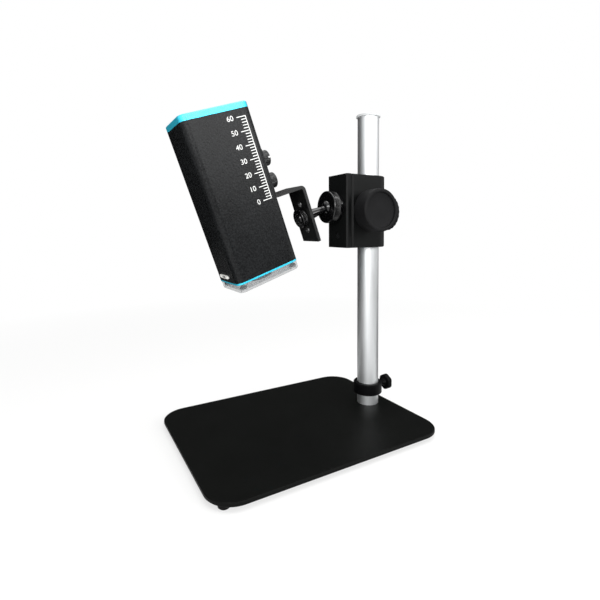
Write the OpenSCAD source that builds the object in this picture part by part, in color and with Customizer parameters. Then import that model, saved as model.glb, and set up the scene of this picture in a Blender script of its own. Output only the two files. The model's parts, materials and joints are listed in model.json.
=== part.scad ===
// USB digital microscope on a pole stand.
// A flat base carries a tube pole. A focus block slides and swivels on the pole,
// and its rack and pinion moves a front slide. A ball joint on that slide carries
// a bent bracket, and the microscope body is screwed to the bracket.
// Millimetres, +Z up. The origin is on the floor under the centre of the base plate,
// +X points towards the pole. The stand is symmetric about Y = 0 but for the focus knob,
// which is on the -Y side, and so is the microscope but for its button and its main board.

/* [Base] */
// Length of the base plate, along X
base_l = 190; // [160:1:260]
// Width of the base plate, along Y
base_w = 147; // [110:1:220]
// Thickness of the base plate
base_t = 3; // [2.5:0.5:6]
// Corner radius of the base plate
base_corner_r = 20; // [16:1:40]
// Chamfer on the edges of the base plate
base_edge = 0.6; // [0.2:0.1:0.9]
// Radius of a rubber foot
foot_r = 4; // [3:0.5:6]
// Height of a rubber foot
foot_h = 3; // [2:0.5:6]
// Distance of a foot's centre from the two edges at its corner
foot_inset = 9.5; // [9.5:0.5:30]

/* [Pole] */
// Outer diameter of the pole
pole_d = 19; // [16:0.5:21]
// Height of the pole above the base plate
pole_h = 258; // [250:1:320]
// Wall of the pole's tube
pole_wall = 1.5; // [1:0.25:2.5]
// Distance of the pole's axis from the end edge of the base plate
pole_setback = 19; // [16:1:30]
// Height of the steel plug pressed into the foot of the pole
plug_h = 20; // [16:1:40]
// Radius of the screw that holds the pole to the base plate
pole_screw_r = 3; // [2.5:0.25:4]
// Length of that screw above its head
pole_screw_l = 14; // [10:1:15]
// How far the lip of the pole's end cap stands out past the pole
end_cap_lip = 1.2; // [0.4:0.1:3]
// Thickness of the end cap's lip
end_cap_t = 2; // [1:0.25:5]
// Length of the end cap's plug inside the pole
end_cap_plug = 10; // [5:1:25]

/* [Stop collar] */
// Height of the collar's lower face above the base plate
collar_up = 9.4; // [2:0.2:60]
// Height of the collar
collar_h = 10; // [7:0.5:14]
// Wall of the collar round the pole
collar_wall = 3.25; // [2.5:0.25:6]
// Radius of the collar screw's thread
collar_screw_r = 2; // [1.5:0.25:2.5]
// Radius of the collar screw's head
collar_head_r = 7.2; // [4:0.1:9]
// Thickness of the collar screw's head
collar_head_t = 5; // [3:0.5:9]
// Bare neck between the collar and the screw's head
collar_neck = 6.5; // [1:0.5:8]

/* [Focus block] */
// Height of the block's lower face above the base plate
block_up = 143; // [110:1:170]
// Height of the block and of its front slide
block_h = 62.4; // [56:0.2:76]
// Width of the block, also the diameter of its round back
block_w = 28.4; // [27:0.2:36]
// Chamfer on the upper and lower edges of the block
block_edge = 0.7; // [0.2:0.1:1.2]
// Chamfer on the upright front edges of the block
block_front_edge = 1.8; // [0.4:0.1:2.5]
// Chamfer on the upright front edges of the slide plate
plate_edge = 1.3; // [0.4:0.1:2.5]
// Wall of the liner bush between pole and block
bush_wall = 1.25; // [1:0.05:2]
// Distance of each end of the liner bush from the block's end face
bush_inset = 0.8; // [0.2:0.2:3]
// Depth of the groove in the bush that the lock screw runs in
bush_groove = 0.5; // [0.2:0.1:0.7]
// Wall left between the pole's bore and the pinion's chamber
chamber_wall = 0.6; // [0.4:0.1:2]
// Thickness of the slide's front plate
plate_t = 4.2; // [3:0.1:7]
// Open seam between the front plate and the block
plate_seam = 1; // [0.3:0.1:1.5]
// Depth of the dovetail tongue behind the front plate
tongue_depth = 10; // [6:0.5:14]
// Width of the dovetail tongue where it leaves the plate
tongue_neck = 13; // [10:0.5:15]
// Width of the dovetail tongue at its back
tongue_w = 18; // [16:0.5:20]

/* [Rack and pinion] */
// Teeth on the pinion
pinion_teeth = 12; // [12:2:16]
// Tooth module
tooth_module = 0.5; // [0.4:0.05:0.6]
// Pressure angle of the teeth
pressure_angle = 25; // [22:1:28]
// Backlash taken off each tooth
backlash = 0.12; // [0.06:0.02:0.2]
// Length of the pinion's teeth
pinion_w = 6; // [4:0.5:8]
// Length of the rack
rack_l = 48; // [42:1:54]
// Thickness of the rack behind its teeth
rack_back = 2; // [1.5:0.25:3]
// Depth of the seat that the rack lies in
rack_seat = 1; // [0.5:0.25:1.25]
// Distance of the rack's screw from the rack's lower end
rack_screw_in = 2.8; // [2:0.1:4]
// How far the shaft's drive end stands out past the teeth
drive_step = 0.15; // [0.1:0.05:0.2]
// Radius of the shaft at its plain tail end
tail_r = 2.5; // [1.75:0.25:2.75]
// Radius of the washer on the shaft's tail end
tail_washer_r = 5; // [4:0.5:8]
// Thickness of that washer
tail_washer_t = 1.2; // [0.8:0.2:3]
// Thread radius of the screw that holds that washer
tail_screw_r = 1.25; // [1:0.25:1.5]
// Radius of that screw's head
tail_head_r = 2.6; // [2:0.2:4]

/* [Focus knob] */
// Radius of the focus knob
knob_r = 17.6; // [12:0.2:24]
// Length of the wide part of the focus knob
knob_l = 14.3; // [8:0.1:24]
// Radius of the knob's hub beside the block
knob_hub_r = 9; // [6:0.5:11]
// Length of that hub
knob_hub_l = 7.4; // [2:0.2:12]
// Radius of the sunk face at the knob's outer end
knob_face_r = 14.6; // [8:0.2:16]
// Depth of the sunk face
knob_face_depth = 1.8; // [1:0.2:4]
// Chamfer on the knob's edges
knob_edge = 1; // [0.4:0.1:1.6]

/* [Lock knob] */
// Radius of the lock knob on the block's back
lock_r = 16.8; // [8:0.2:20]
// Length of the wide part of the lock knob
lock_l = 6.8; // [5:0.2:14]
// Radius of the lock knob's hub
lock_hub_r = 6; // [4.5:0.5:8]
// Length of that hub
lock_hub_l = 1.5; // [1:0.1:5]
// Radius of the lock screw
lock_screw_r = 2.5; // [2:0.25:3.5]

/* [Ball joint] */
// Height of the ball joint's axis above the middle of the block
ball_rise = 3.4; // [-6:0.2:8]
// Radius of the ball
ball_r = 6.2; // [5:0.1:6.8]
// Wall of the nylon seat round the ball
seat_wall = 0.9; // [0.7:0.1:1.4]
// Wall of the housing round the seat, under its thread
nose_wall = 2.3; // [1.6:0.1:3]
// Radius of the housing's foot against the slide
socket_foot_r = 11.6; // [11:0.2:13.2]
// Height of the housing's foot
socket_foot_h = 4.8; // [4.6:0.1:8]
// Thickness of the housing's floor behind the seat
socket_floor = 1.6; // [1:0.1:2.5]
// Radius of the housing's spigot in the slide
spigot_r = 4; // [2.5:0.25:5]
// Length of that spigot
spigot_l = 6; // [3:0.5:8]
// Outer radius of the locking ring
ring_r = 13.6; // [12.6:0.1:17]
// Height of the locking ring
ring_h = 7.1; // [6.9:0.1:11]
// Depth of the ball's centre behind the ring's front face
ball_depth = 3.2; // [2.8:0.1:3.6]
// Thickness of the ring's lip in front of the housing
ring_lip = 1.7; // [1.2:0.1:2]
// Radius of the stem's neck beside the ball
neck_r = 2.8; // [2:0.1:3]
// Length of that neck from the ball's centre
neck_l = 7.5; // [6.5:0.1:9]
// Radius of the stem where it meets the bracket
stem_r = 4.4; // [3.6:0.1:6]
// Distance from the ball's centre to the bracket
stem_l = 24; // [20:0.2:36]
// Radius of the stud's threaded end
stud_r = 3; // [2:0.25:3.5]
// How far the threaded end stands out of the thumb nut
stud_proud = 0.6; // [0.2:0.1:3]
// Radius of the thumb nut
nut_r = 7.75; // [6:0.25:8.5]
// Thickness of the thumb nut
nut_t = 6; // [3:0.2:9]

/* [Bracket] */
// Lean of the microscope from upright, at rest
lean = 19.4; // [0:0.2:28]
// Thickness of the bracket's sheet
bracket_t = 2.6; // [2:0.1:4]
// Width of the bracket
bracket_w = 24; // [20:0.5:32]
// Reach of the bracket, from the microscope's side to the far face of its leg
bracket_reach = 28.9; // [22:0.1:40]
// Inner radius of the bracket's bends
bend_r = 1.5; // [0.5:0.1:2.5]
// Distance from the web's upper face down to the stem's hole
leg_drop = 26; // [22:0.5:32]
// Length of the leg below the stem's hole
leg_tail = 21.1; // [15:0.1:30]
// Distance of the two spare holes from the stem's hole
spare_pitch = 11.2; // [10.8:0.2:13]
// Radius of the two spare holes
spare_r = 2.5; // [1:0.25:2.5]
// Length of the flange above the web's upper face
flange_h = 35; // [34:0.5:45]
// Height of the lower thumbscrew above the web's upper face
screw_low = 10.6; // [9:0.2:12]
// Distance between the two thumbscrews
screw_pitch = 17.6; // [15:0.2:18]
// Thread radius of the thumbscrews
thumb_r = 2; // [1.5:0.25:2.5]
// Radius of the thumbscrews' heads
thumb_head_r = 6.1; // [5:0.1:7]
// Length of the thumbscrews' heads
thumb_head_l = 8.4; // [3.4:0.2:12]
// Neck between the bracket and the head of a thumbscrew
thumb_neck = 0.6; // [0.4:0.2:4]
// Width of the screwdriver slot in a thumbscrew's head
thumb_slot = 1.4; // [0.8:0.1:2]
// Turn of the upper and of the lower thumbscrew's slot, at rest
thumb_turn = [0, 55]; // [0:5:180]

/* [Microscope body] */
// Width of the microscope's body
body_w = 52.2; // [48:0.2:64]
// Depth of the microscope's body, along Y
body_d = 41; // [38:0.5:50]
// Length of the body's extruded shell
shell_l = 115.4; // [112:0.2:150]
// Radius of the body's long edges
body_r = 5.5; // [5:0.25:8]
// Wall of the shell
shell_wall = 1.8; // [1.4:0.1:2.4]
// Height of the stem's axis below the middle of the shell
stem_below = 33.5; // [26:0.5:38]
// Distance of the corner screws from the body's sides
port_inset = 4.6; // [4.4:0.1:4.8]
// Wall of the screw ports inside the shell
port_wall = 1.8; // [1.6:0.1:2.2]
// Thread radius of the corner screws
case_screw_r = 1.3; // [1:0.1:1.4]
// Length of a corner screw in its port
case_screw_l = 8; // [5:0.5:14]
// Radius of a corner screw's head
case_head_r = 2.5; // [2:0.1:2.7]
// Thickness of the top cap
cap_t = 4.5; // [3:0.1:7]
// Chamfer on the top cap's upper edge
cap_edge = 0.8; // [0.3:0.1:1.5]
// Depth of the top cap's locating ribs inside the shell
cap_rib = 2.5; // [1:0.25:5]
// Radius of the threaded inserts for the thumbscrews
insert_r = 3; // [2.75:0.25:3.25]
// Radius of an insert's flange inside the shell
insert_flange_r = 4.2; // [3.6:0.1:4.6]
// Thickness of that flange
insert_flange_t = 1.2; // [0.8:0.1:2]
// Length of the snapshot button
button_l = 17; // [10:0.5:18]
// Height of the snapshot button
button_h = 2.6; // [2:0.2:6]
// Place of the snapshot button's middle, along Y
button_y = 3; // [0:0.5:4]
// How far the snapshot button stands out of the shell
button_proud = 0.6; // [0.4:0.1:1.5]
// How far the button's inner flange reaches past its slot
button_lip = 0.8; // [0.5:0.1:1]
// Thickness of that flange
button_lip_t = 1; // [0.6:0.1:1.5]

/* [Nose and light] */
// Thickness of the coloured trim plate
trim_t = 1.4; // [1:0.1:4]
// Height of the clear nose cover
nose_h = 6.2; // [5.2:0.1:9]
// How far the clear nose is set in from the body's sides
nose_inset = 0.4; // [0.1:0.1:1.2]
// Wall of the clear nose cover
nose_side = 2; // [1.4:0.1:2.6]
// Thickness of the clear nose cover's pane
nose_pane = 1.5; // [1:0.1:2.5]
// Chamfer on the clear nose cover's lower edge
nose_edge = 0.9; // [0.3:0.1:1.4]
// Width of the window in the trim plate
window_w = 37; // [34:0.5:38]
// Depth of the window in the trim plate, along Y
window_d = 23; // [21:0.5:24]
// Thickness of the circuit boards
board_t = 1.6; // [1:0.1:2]
// Distance of the lamps from the lens axis
led_x = 14.4; // [13:0.2:15.4]
// Spacing of the lamps along Y
led_pitch = 7.4; // [6:0.2:8]
// Radius of a lamp
led_r = 2; // [1.5:0.1:2.4]
// Height of a lamp
led_h = 3.4; // [2.5:0.1:3.8]

/* [Optics and boards] */
// Radius of the lens barrel
barrel_r = 9; // [8:0.1:9.6]
// Length of the lens barrel
barrel_l = 30; // [24:0.5:32]
// How far the barrel's front is sunk below the nose
barrel_sunk = 1.1; // [0.6:0.1:2]
// Wall of the lens barrel
barrel_wall = 1.8; // [1.4:0.1:2.4]
// Wall of the lens mount round the barrel
mount_wall = 1.9; // [1.4:0.1:2.4]
// Height of the lens mount
mount_h = 34; // [32:0.5:40]
// Distance of the lens mount's upper flange from the line of the corner screws, along X
flange_in_x = 3.5; // [3:0.1:6]
// The same distance along Y
flange_in_y = 1.4; // [1.2:0.1:3]
// Thickness of the lens mount's flanges
mount_flange_t = 2.4; // [1.5:0.1:3]
// Thickness of the front lens at its rim
front_lens_t = 2.4; // [1.8:0.1:3]
// Radius of curvature of the lenses
lens_curve = 16; // [12:0.5:30]
// Thickness of the rear lens at its rim
rear_lens_t = 2; // [1.5:0.1:3]
// Width of the image sensor
sensor_w = 9; // [6:0.5:10]
// Depth of the image sensor, along Y
sensor_d = 7; // [5:0.5:8]
// Thickness of the image sensor
sensor_t = 1.2; // [0.8:0.1:2]
// Place of the main board's front face, along Y
main_board_y = 8; // [7.4:0.1:9]
// Depth of the card guides inside the shell
guide_depth = 1.5; // [1:0.1:1.6]
// Thickness of one card guide
guide_t = 1.2; // [0.8:0.1:1.4]
// Side of the video chip
chip_w = 14; // [8:0.5:20]
// Thickness of the video chip
chip_t = 1.5; // [0.8:0.1:2.5]
// Width of the link between the two boards
link_w = 14; // [8:0.5:20]
// Width of the USB socket
usb_w = 9; // [8.9:0.1:9.4]
// Thickness of the USB socket, along Y
usb_d = 3.3; // [3.2:0.1:3.6]
// Length of the USB socket
usb_l = 8; // [7:0.1:10]
// Wall of the USB socket's shell
usb_wall = 0.35; // [0.25:0.05:0.4]

/* [Clearances] */
// Radial clearance of a running fit
run_gap = 0.05; // [0.02:0.01:0.1]
// Gap between flat faces that move past each other
face_gap = 0.1; // [0.05:0.05:0.3]
// Clearance of a hole round a screw or a moulded piece
hole_gap = 0.2; // [0.1:0.05:0.35]
// Gap round a button in its slot, and round the teeth in their chamber
free_gap = 0.3; // [0.2:0.05:0.45]

/* [Hidden] */
$fn = 96;
// How far a cut runs past a face, and how far two shapes of one piece run into each other
over = 1;
fuse = 0.01;
// Chamfers on small pieces: on edges that lie against another piece, and on open edges
fine_edge = 0.15;
soft_edge = 0.6;

// Stand
base_top = foot_h + base_t;
pole_x = base_l / 2 - pole_setback;
pole_r = pole_d / 2;
pole_bore_r = pole_r - pole_wall;
pole_head_r = 2 * pole_screw_r;
pole_head_h = 0.75 * pole_screw_r;
pole_key_r = 0.77 * pole_screw_r;
pole_key_deep = 0.65 * pole_screw_r;
collar_z = base_top + collar_up;
collar_r = pole_r + run_gap + collar_wall;
collar_mid = collar_z + collar_h / 2;

// Focus block, worked out from the pole towards the front
block_z = base_top + block_up;
mid_z = block_z + block_h / 2;
block_r = block_w / 2;
bush_r = pole_r + run_gap + bush_wall;
block_bore_r = bush_r + run_gap;
pitch_r = pinion_teeth * tooth_module / 2;
tooth_tip = tooth_module;
tooth_root = 1.2 * tooth_module;
flank_steps = 4;
tip_r = pitch_r + tooth_tip;
drive_r = tip_r + drive_step;
chamber_r = tip_r + free_gap;
pinion_x = pole_x - block_bore_r - chamber_wall - chamber_r;
rack_w = pinion_w - 2 * free_gap;
rack_x = pinion_x - pitch_r;
rack_back_x = rack_x - tooth_root - rack_back;
tongue_end_x = rack_back_x + rack_seat;
plate_back_x = tongue_end_x - tongue_depth;
plate_front_x = plate_back_x - plate_t;
block_front_x = plate_back_x + plate_seam;
tooth_pitch = PI * tooth_module;
flank_gap = 1.2 * face_gap;
knob_bore = knob_hub_l + 0.6 * knob_l;
lock_bore = lock_hub_l + 0.7 * lock_l;
tail_end = block_r + face_gap;
tail_head_t = 1.4 * tail_screw_r;

// Ball joint, worked out from the slide's front face outwards
ball_z = mid_z + ball_rise;
seat_bore_r = ball_r + run_gap;
seat_r = seat_bore_r + seat_wall;
housing_bore_r = seat_r + run_gap;
thread_r = housing_bore_r + nose_wall;
ring_front = socket_foot_h + ring_h;
ball_out = ring_front - ball_depth;
ball_x = plate_front_x - ball_out;
nose_end = ring_front - ring_lip - free_gap;
seat_floor = socket_floor + face_gap;
shoulder_t = 1.6;
shoulder_out = 0.8;
shoulder_taper = 2;
leg_far = stem_l + bracket_t;
nut_from = leg_far + face_gap;
stud_end = nut_from + nut_t + stud_proud;

// Microscope, in its own leaning frame with the shell's middle as the origin
half_w = body_w / 2;
half_d = body_d / 2;
half_l = shell_l / 2;
side_x = half_w + bracket_reach + stem_l;
web_top = leg_drop - stem_below;
port_x = half_w - port_inset;
port_y = half_d - port_inset;
port_r = case_screw_r + run_gap + port_wall;
inner_w = body_w - 2 * shell_wall;
inner_d = body_d - 2 * shell_wall;
inner_r = body_r - shell_wall;
trim_low = -half_l - trim_t;
nose_low = trim_low - nose_h;
nose_floor = 2.4;
screw_seat = trim_low - nose_floor;
case_head_t = 2;
head_sunk = 0.4;
thumb_z = [web_top + screw_low + screw_pitch, web_top + screw_low];
board_top = -half_l + board_t;
button_z = board_top + button_h / 2 + button_lip + 2 * hole_gap;
button_travel = button_proud;
switch_tip_x = -half_w + shell_wall + face_gap + button_lip_t + button_travel + hole_gap;
mount_top = board_top + mount_h;
barrel_front = nose_low + barrel_sunk;
sensor_top = mount_top + board_t;
main_top = half_l - 2 * hole_gap;
usb_y = main_board_y - usb_d / 2;
usb_top = half_l + cap_t - hole_gap;
rib_t = 2;
window_r = 3;
post_wall = 1;
led_rim = 0.3;
led_rim_t = 0.8;
switch_w = 6;
switch_t = 3.6;
plunger_r = 1;
plunger_l = 1;
mount_foot = 2;
mount_flange_w = 2 * (port_x - flange_in_x);
mount_flange_d = 2 * (port_y - flange_in_y);
flange_r = 2;
board_margin = 1;
lens_seat = front_lens_t + 3;
rear_seat_r = barrel_r - 1.4 * barrel_wall;
rear_lens_z = barrel_l - rear_lens_t - 1;
link_d = 5;
link_h = 4;
usb_deep = 0.8 * usb_l;
tongue_sunk = 0.8;
usb_tongue_w = 6.6;
usb_tongue_t = 0.7;

// Frames of reference
module in_collar() translate([pole_x, 0, collar_mid]) rotate([0, 90, 0]) children();
module in_socket() translate([plate_front_x, 0, ball_z]) rotate([0, -90, 0]) children();
module in_pinion() translate([pinion_x, 0, mid_z]) rotate([90, 0, 0]) children();
module in_stem() translate([ball_x, 0, ball_z]) rotate([0, -lean, 0]) rotate([0, -90, 0]) children();
module in_body() translate([ball_x, 0, ball_z]) rotate([0, -lean, 0])
    translate([-side_x, 0, stem_below]) children();
module in_rack_screw() translate([plate_front_x, 0, mid_z - rack_l / 2 + rack_screw_in])
    rotate([0, 90, 0]) children();

// Shapes that repeat
module round_rect(w, d, r) {
    square([w - 2 * r, d], center = true);
    square([w, d - 2 * r], center = true);
    for (sx = [-1, 1], sy = [-1, 1])
        translate([sx * (w / 2 - r), sy * (d / 2 - r)]) circle(r);
}

// Slab on z = 0 with rounded corners, and chamfers below and above
module soft_slab(w, d, h, r, low, high) {
    module side(across) polygon([
        [-across / 2 + low, 0], [across / 2 - low, 0], [across / 2, low],
        [across / 2, h - high], [across / 2 - high, h], [-across / 2 + high, h],
        [-across / 2, h - high], [-across / 2, low]]);
    for (sx = [-1, 1], sy = [-1, 1])
        translate([sx * (w / 2 - r), sy * (d / 2 - r), 0]) turned_disc(r, h, low, high);
    rotate([90, 0, 90]) linear_extrude(w - 2 * r, center = true) side(d);
    rotate([90, 0, 0]) linear_extrude(d - 2 * r, center = true) side(w);
}

// Round disc on z = 0 with chamfers below and above
module turned_disc(r, h, low, high) rotate_extrude() polygon([
    [0, 0], [r - low, 0], [r, low], [r, h - high], [r - high, h], [0, h]]);

// Slot with round ends, its length along Y
module slot_shape(l, h) {
    square([h, l - h], center = true);
    for (s = [-1, 1]) translate([0, s * (l - h) / 2]) circle(h / 2);
}

module ring_tube(outer, inner, h) difference() {
    cylinder(r = outer, h = h);
    translate([0, 0, -over]) cylinder(r = inner, h = h + 2 * over);
}

module at_ports() for (sx = [-1, 1], sy = [-1, 1])
    translate([sx * port_x, sy * port_y, 0]) children();

// Lens with one domed face, standing on z = 0 with its dome below
module domed_lens(r, rim) {
    sag = lens_curve - sqrt(pow(lens_curve, 2) - pow(r, 2));
    cylinder(r = r, h = rim);
    intersection() {
        translate([0, 0, lens_curve - sag]) sphere(lens_curve);
        translate([0, 0, -sag]) cylinder(r = r, h = sag);
    }
}

// Involute of the pinion's base circle: polar angle at radius r
function base_r() = pitch_r * cos(pressure_angle);
function involute_angle(r) = let (t = sqrt(pow(max(r, base_r()) / base_r(), 2) - 1))
    t * 180 / PI - atan(t);
function tooth_half() = 90 / pinion_teeth - backlash / 2 / pitch_r * 180 / PI / 2;
function flank(r) = tooth_half() + involute_angle(pitch_r) - involute_angle(r);
function flank_radii() = [pitch_r - tooth_root, for (k = [0 : flank_steps])
    base_r() + (tip_r - base_r()) * k / flank_steps];
function pinion_outline() = let (last = flank_steps + 1)
    [for (n = [0 : pinion_teeth - 1], side = [-1, 1], k = [0 : last])
        let (r = flank_radii()[side < 0 ? k : last - k], a = 360 / pinion_teeth * n + side * flank(r))
        [r * cos(a), r * sin(a)]];

// Half-thickness of a rack tooth at a distance out from its pitch line
function rack_half(out) = tooth_pitch / 4 - backlash / 4 - out * tan(pressure_angle);
function tongue_half(x) = tongue_neck / 2
    + (tongue_w - tongue_neck) / 2 * (x - plate_back_x) / tongue_depth;

// Stand
module base_plate() color("#1b1c1b") difference() {
    translate([0, 0, foot_h]) soft_slab(base_l, base_w, base_t, base_corner_r, base_edge, base_edge);
    translate([pole_x, 0, foot_h - over]) cylinder(r = pole_screw_r + hole_gap, h = base_t + 2 * over);
    translate([pole_x, 0, foot_h]) cylinder(r1 = pole_head_r + hole_gap, r2 = pole_screw_r + hole_gap,
        h = pole_head_h);
}

module rubber_feet() color("#101010") for (sx = [-1, 1], sy = [-1, 1])
    translate([sx * (base_l / 2 - foot_inset), sy * (base_w / 2 - foot_inset), 0])
        turned_disc(foot_r, foot_h, foot_h / 4, foot_h / 10);

module pole() color("#c9cbcd") translate([pole_x, 0, base_top]) ring_tube(pole_r, pole_bore_r, pole_h);

module pole_plug() color("#8d9094") translate([pole_x, 0, base_top])
    ring_tube(pole_bore_r - run_gap, pole_screw_r + run_gap, plug_h);

module pole_screw() color("#3a3c3e") translate([pole_x, 0, foot_h]) difference() {
    union() {
        cylinder(r1 = pole_head_r, r2 = pole_screw_r, h = pole_head_h);
        cylinder(r = pole_screw_r, h = base_t + pole_screw_l);
    }
    translate([0, 0, -over]) cylinder(r = pole_key_r, h = pole_key_deep + over, $fn = 6);
}

module pole_end_cap() color("#e6e8e8") translate([pole_x, 0, base_top + pole_h]) {
    turned_disc(pole_r + end_cap_lip, end_cap_t, end_cap_t / 8, end_cap_t / 4);
    translate([0, 0, -end_cap_plug]) cylinder(r = pole_bore_r - run_gap, h = end_cap_plug + end_cap_t / 2);
}

module stop_collar() color("#1c1c1d") difference() {
    translate([pole_x, 0, collar_z]) difference() {
        turned_disc(collar_r, collar_h, collar_wall / 5, collar_wall / 5);
        translate([0, 0, -over]) cylinder(r = pole_r + run_gap, h = collar_h + 2 * over);
    }
    in_collar() cylinder(r = collar_screw_r + run_gap, h = collar_r + over);
}

module collar_screw() color("#19191a") in_collar() {
    translate([0, 0, pole_r + face_gap]) cylinder(r = collar_screw_r, h = collar_wall + collar_neck + over);
    translate([0, 0, collar_r + collar_neck])
        turned_disc(collar_head_r, collar_head_t, collar_head_t / 9, collar_head_t / 9);
}

// Focus block
module liner_bush() color("#d8d5c8") translate([pole_x, 0, 0]) difference() {
    translate([0, 0, block_z + bush_inset])
        ring_tube(bush_r, pole_r + run_gap, block_h - 2 * bush_inset);
    translate([0, 0, mid_z - lock_screw_r - face_gap])
        ring_tube(bush_r + over, bush_r - bush_groove, 2 * (lock_screw_r + face_gap));
}

module block_blank() {
    straight = pole_x - block_front_x;
    translate([pole_x, 0, block_z]) turned_disc(block_r, block_h, block_edge, block_edge);
    translate([block_front_x + straight / 2, 0, block_z]) rotate([90, 0, 90])
        linear_extrude(straight, center = true) polygon([
            [-block_r + block_edge, 0], [block_r - block_edge, 0], [block_r, block_edge],
            [block_r, block_h - block_edge], [block_r - block_edge, block_h],
            [-block_r + block_edge, block_h], [-block_r, block_h - block_edge], [-block_r, block_edge]]);
}

// Upright wedge that takes the chamfer off a front corner
module front_wedge(x, edge) for (s = [-1, 1]) translate([x, s * block_r, block_z - over])
    rotate([0, 0, 45]) translate([-edge / sqrt(2), -edge / sqrt(2), 0])
        cube([sqrt(2) * edge, sqrt(2) * edge, block_h + 2 * over]);

module focus_block() color("#1a1b1b") difference() {
    block_blank();
    front_wedge(block_front_x, block_front_edge);
    translate([pole_x, 0, block_z - over]) cylinder(r = block_bore_r, h = block_h + 2 * over);
    translate([0, 0, block_z - over]) linear_extrude(block_h + 2 * over) {
        polygon([for (s = [-1, 1], end = [0, 1])
            let (x = (s < 0) == (end < 1) ? block_front_x - over : tongue_end_x + face_gap)
            [x, s * (tongue_half(x) + flank_gap)]]);
        translate([tongue_end_x, -rack_w / 2 - free_gap])
            square([rack_x + tooth_tip + free_gap - tongue_end_x, rack_w + 2 * free_gap]);
    }
    in_pinion() {
        translate([0, 0, -pinion_w / 2 - free_gap]) cylinder(r = chamber_r, h = pinion_w + 2 * free_gap);
        cylinder(r = drive_r + run_gap, h = block_r + over);
        translate([0, 0, -block_r - over]) cylinder(r = tail_r + run_gap, h = block_r + over);
    }
    translate([pole_x, 0, mid_z]) rotate([0, 90, 0]) cylinder(r = lock_screw_r + run_gap, h = block_r + over);
}

module lock_knob() color("#151516") translate([pole_x + block_r + free_gap, 0, mid_z]) rotate([0, 90, 0])
    difference() {
        union() {
            cylinder(r = lock_hub_r, h = lock_hub_l + over);
            translate([0, 0, lock_hub_l]) turned_disc(lock_r, lock_l, lock_l / 7, lock_l / 7);
        }
        translate([0, 0, -over]) cylinder(r = lock_screw_r + run_gap, h = lock_bore + over);
    }

module lock_screw() color("#8f9296") translate([pole_x, 0, mid_z]) rotate([0, 90, 0]) {
    tip = bush_r - bush_groove + face_gap;
    translate([0, 0, tip]) cylinder(r = lock_screw_r, h = block_r + free_gap + lock_bore - tip);
}

module slide_plate() color("#161717") difference() {
    union() {
        translate([plate_front_x, -block_r, block_z]) cube([plate_t, block_w, block_h]);
        translate([0, 0, block_z]) linear_extrude(block_h) polygon([
            [plate_back_x - plate_t / 2, -tongue_neck / 2], [plate_back_x, -tongue_neck / 2],
            [tongue_end_x, -tongue_w / 2], [tongue_end_x, tongue_w / 2],
            [plate_back_x, tongue_neck / 2], [plate_back_x - plate_t / 2, tongue_neck / 2]]);
    }
    front_wedge(plate_front_x, plate_edge);
    translate([rack_back_x, -rack_w / 2 - run_gap, mid_z - rack_l / 2 - run_gap])
        cube([rack_seat + over, rack_w + 2 * run_gap, rack_l + 2 * run_gap]);
    in_socket() translate([0, 0, -spigot_l - face_gap]) cylinder(r = spigot_r + run_gap, h = spigot_l + over);
    in_rack_screw() {
        translate([0, 0, -over]) cylinder(r = case_screw_r + hole_gap, h = plate_t + tongue_depth + 2 * over);
        translate([0, 0, -over]) cylinder(r = case_head_r + hole_gap, h = case_head_t + over);
    }
}

module rack() color("#b49a5a") difference() {
    union() {
        translate([rack_back_x, -rack_w / 2, mid_z - rack_l / 2]) cube([rack_back, rack_w, rack_l]);
        rack_teeth();
    }
    in_rack_screw() cylinder(r = case_screw_r + run_gap, h = rack_x - plate_front_x + over);
}

// Teeth stand between the spaces that lie level with the pinion's axis
module rack_teeth() {
    count = floor((rack_l / 2 - 2 * rack_screw_in) / tooth_pitch);
    foot_x = rack_back_x + rack_back / 2;
    intersection() {
        translate([foot_x, -rack_w / 2, mid_z - rack_l / 2]) cube([rack_x, rack_w, rack_l]);
        for (n = [-count : count - 1]) translate([rack_x, rack_w / 2, mid_z + (n + 0.5) * tooth_pitch])
            rotate([90, 0, 0]) linear_extrude(rack_w) polygon([
                [foot_x - rack_x, -rack_half(-tooth_root)], [-tooth_root, -rack_half(-tooth_root)],
                [tooth_tip, -rack_half(tooth_tip)], [tooth_tip, rack_half(tooth_tip)],
                [-tooth_root, rack_half(-tooth_root)], [foot_x - rack_x, rack_half(-tooth_root)]]);
    }
}

module rack_screw() color("#2a2b2c") in_rack_screw() translate([0, 0, head_sunk])
    case_screw(rack_x - tooth_root - plate_front_x - head_sunk);

module pinion_shaft() color("#a9adb1") in_pinion() {
    rotate([0, 0, 180]) translate([0, 0, -pinion_w / 2]) linear_extrude(pinion_w) polygon(pinion_outline());
    translate([0, 0, pinion_w / 2 - fuse]) cylinder(r = drive_r, h = tail_end + knob_bore - pinion_w / 2);
    difference() {
        translate([0, 0, -tail_end]) cylinder(r = tail_r, h = tail_end - pinion_w / 2 + fuse);
        translate([0, 0, -tail_end - over]) cylinder(r = tail_screw_r + run_gap, h = 3 * tail_screw_r + over);
    }
}

module focus_knob() color("#171718") in_pinion() translate([0, 0, tail_end]) difference() {
    union() {
        cylinder(r = knob_hub_r, h = knob_hub_l + over);
        translate([0, 0, knob_hub_l]) turned_disc(knob_r, knob_l, knob_edge, knob_edge / 2);
    }
    translate([0, 0, -over]) cylinder(r = drive_r + run_gap, h = knob_bore + over + run_gap);
    translate([0, 0, knob_hub_l + knob_l - knob_face_depth])
        cylinder(r = knob_face_r, h = knob_face_depth + over);
}

module shaft_washer() color("#9a9da0") in_pinion() translate([0, 0, -tail_end - tail_washer_t])
    ring_tube(tail_washer_r, tail_screw_r + hole_gap, tail_washer_t);

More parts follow.
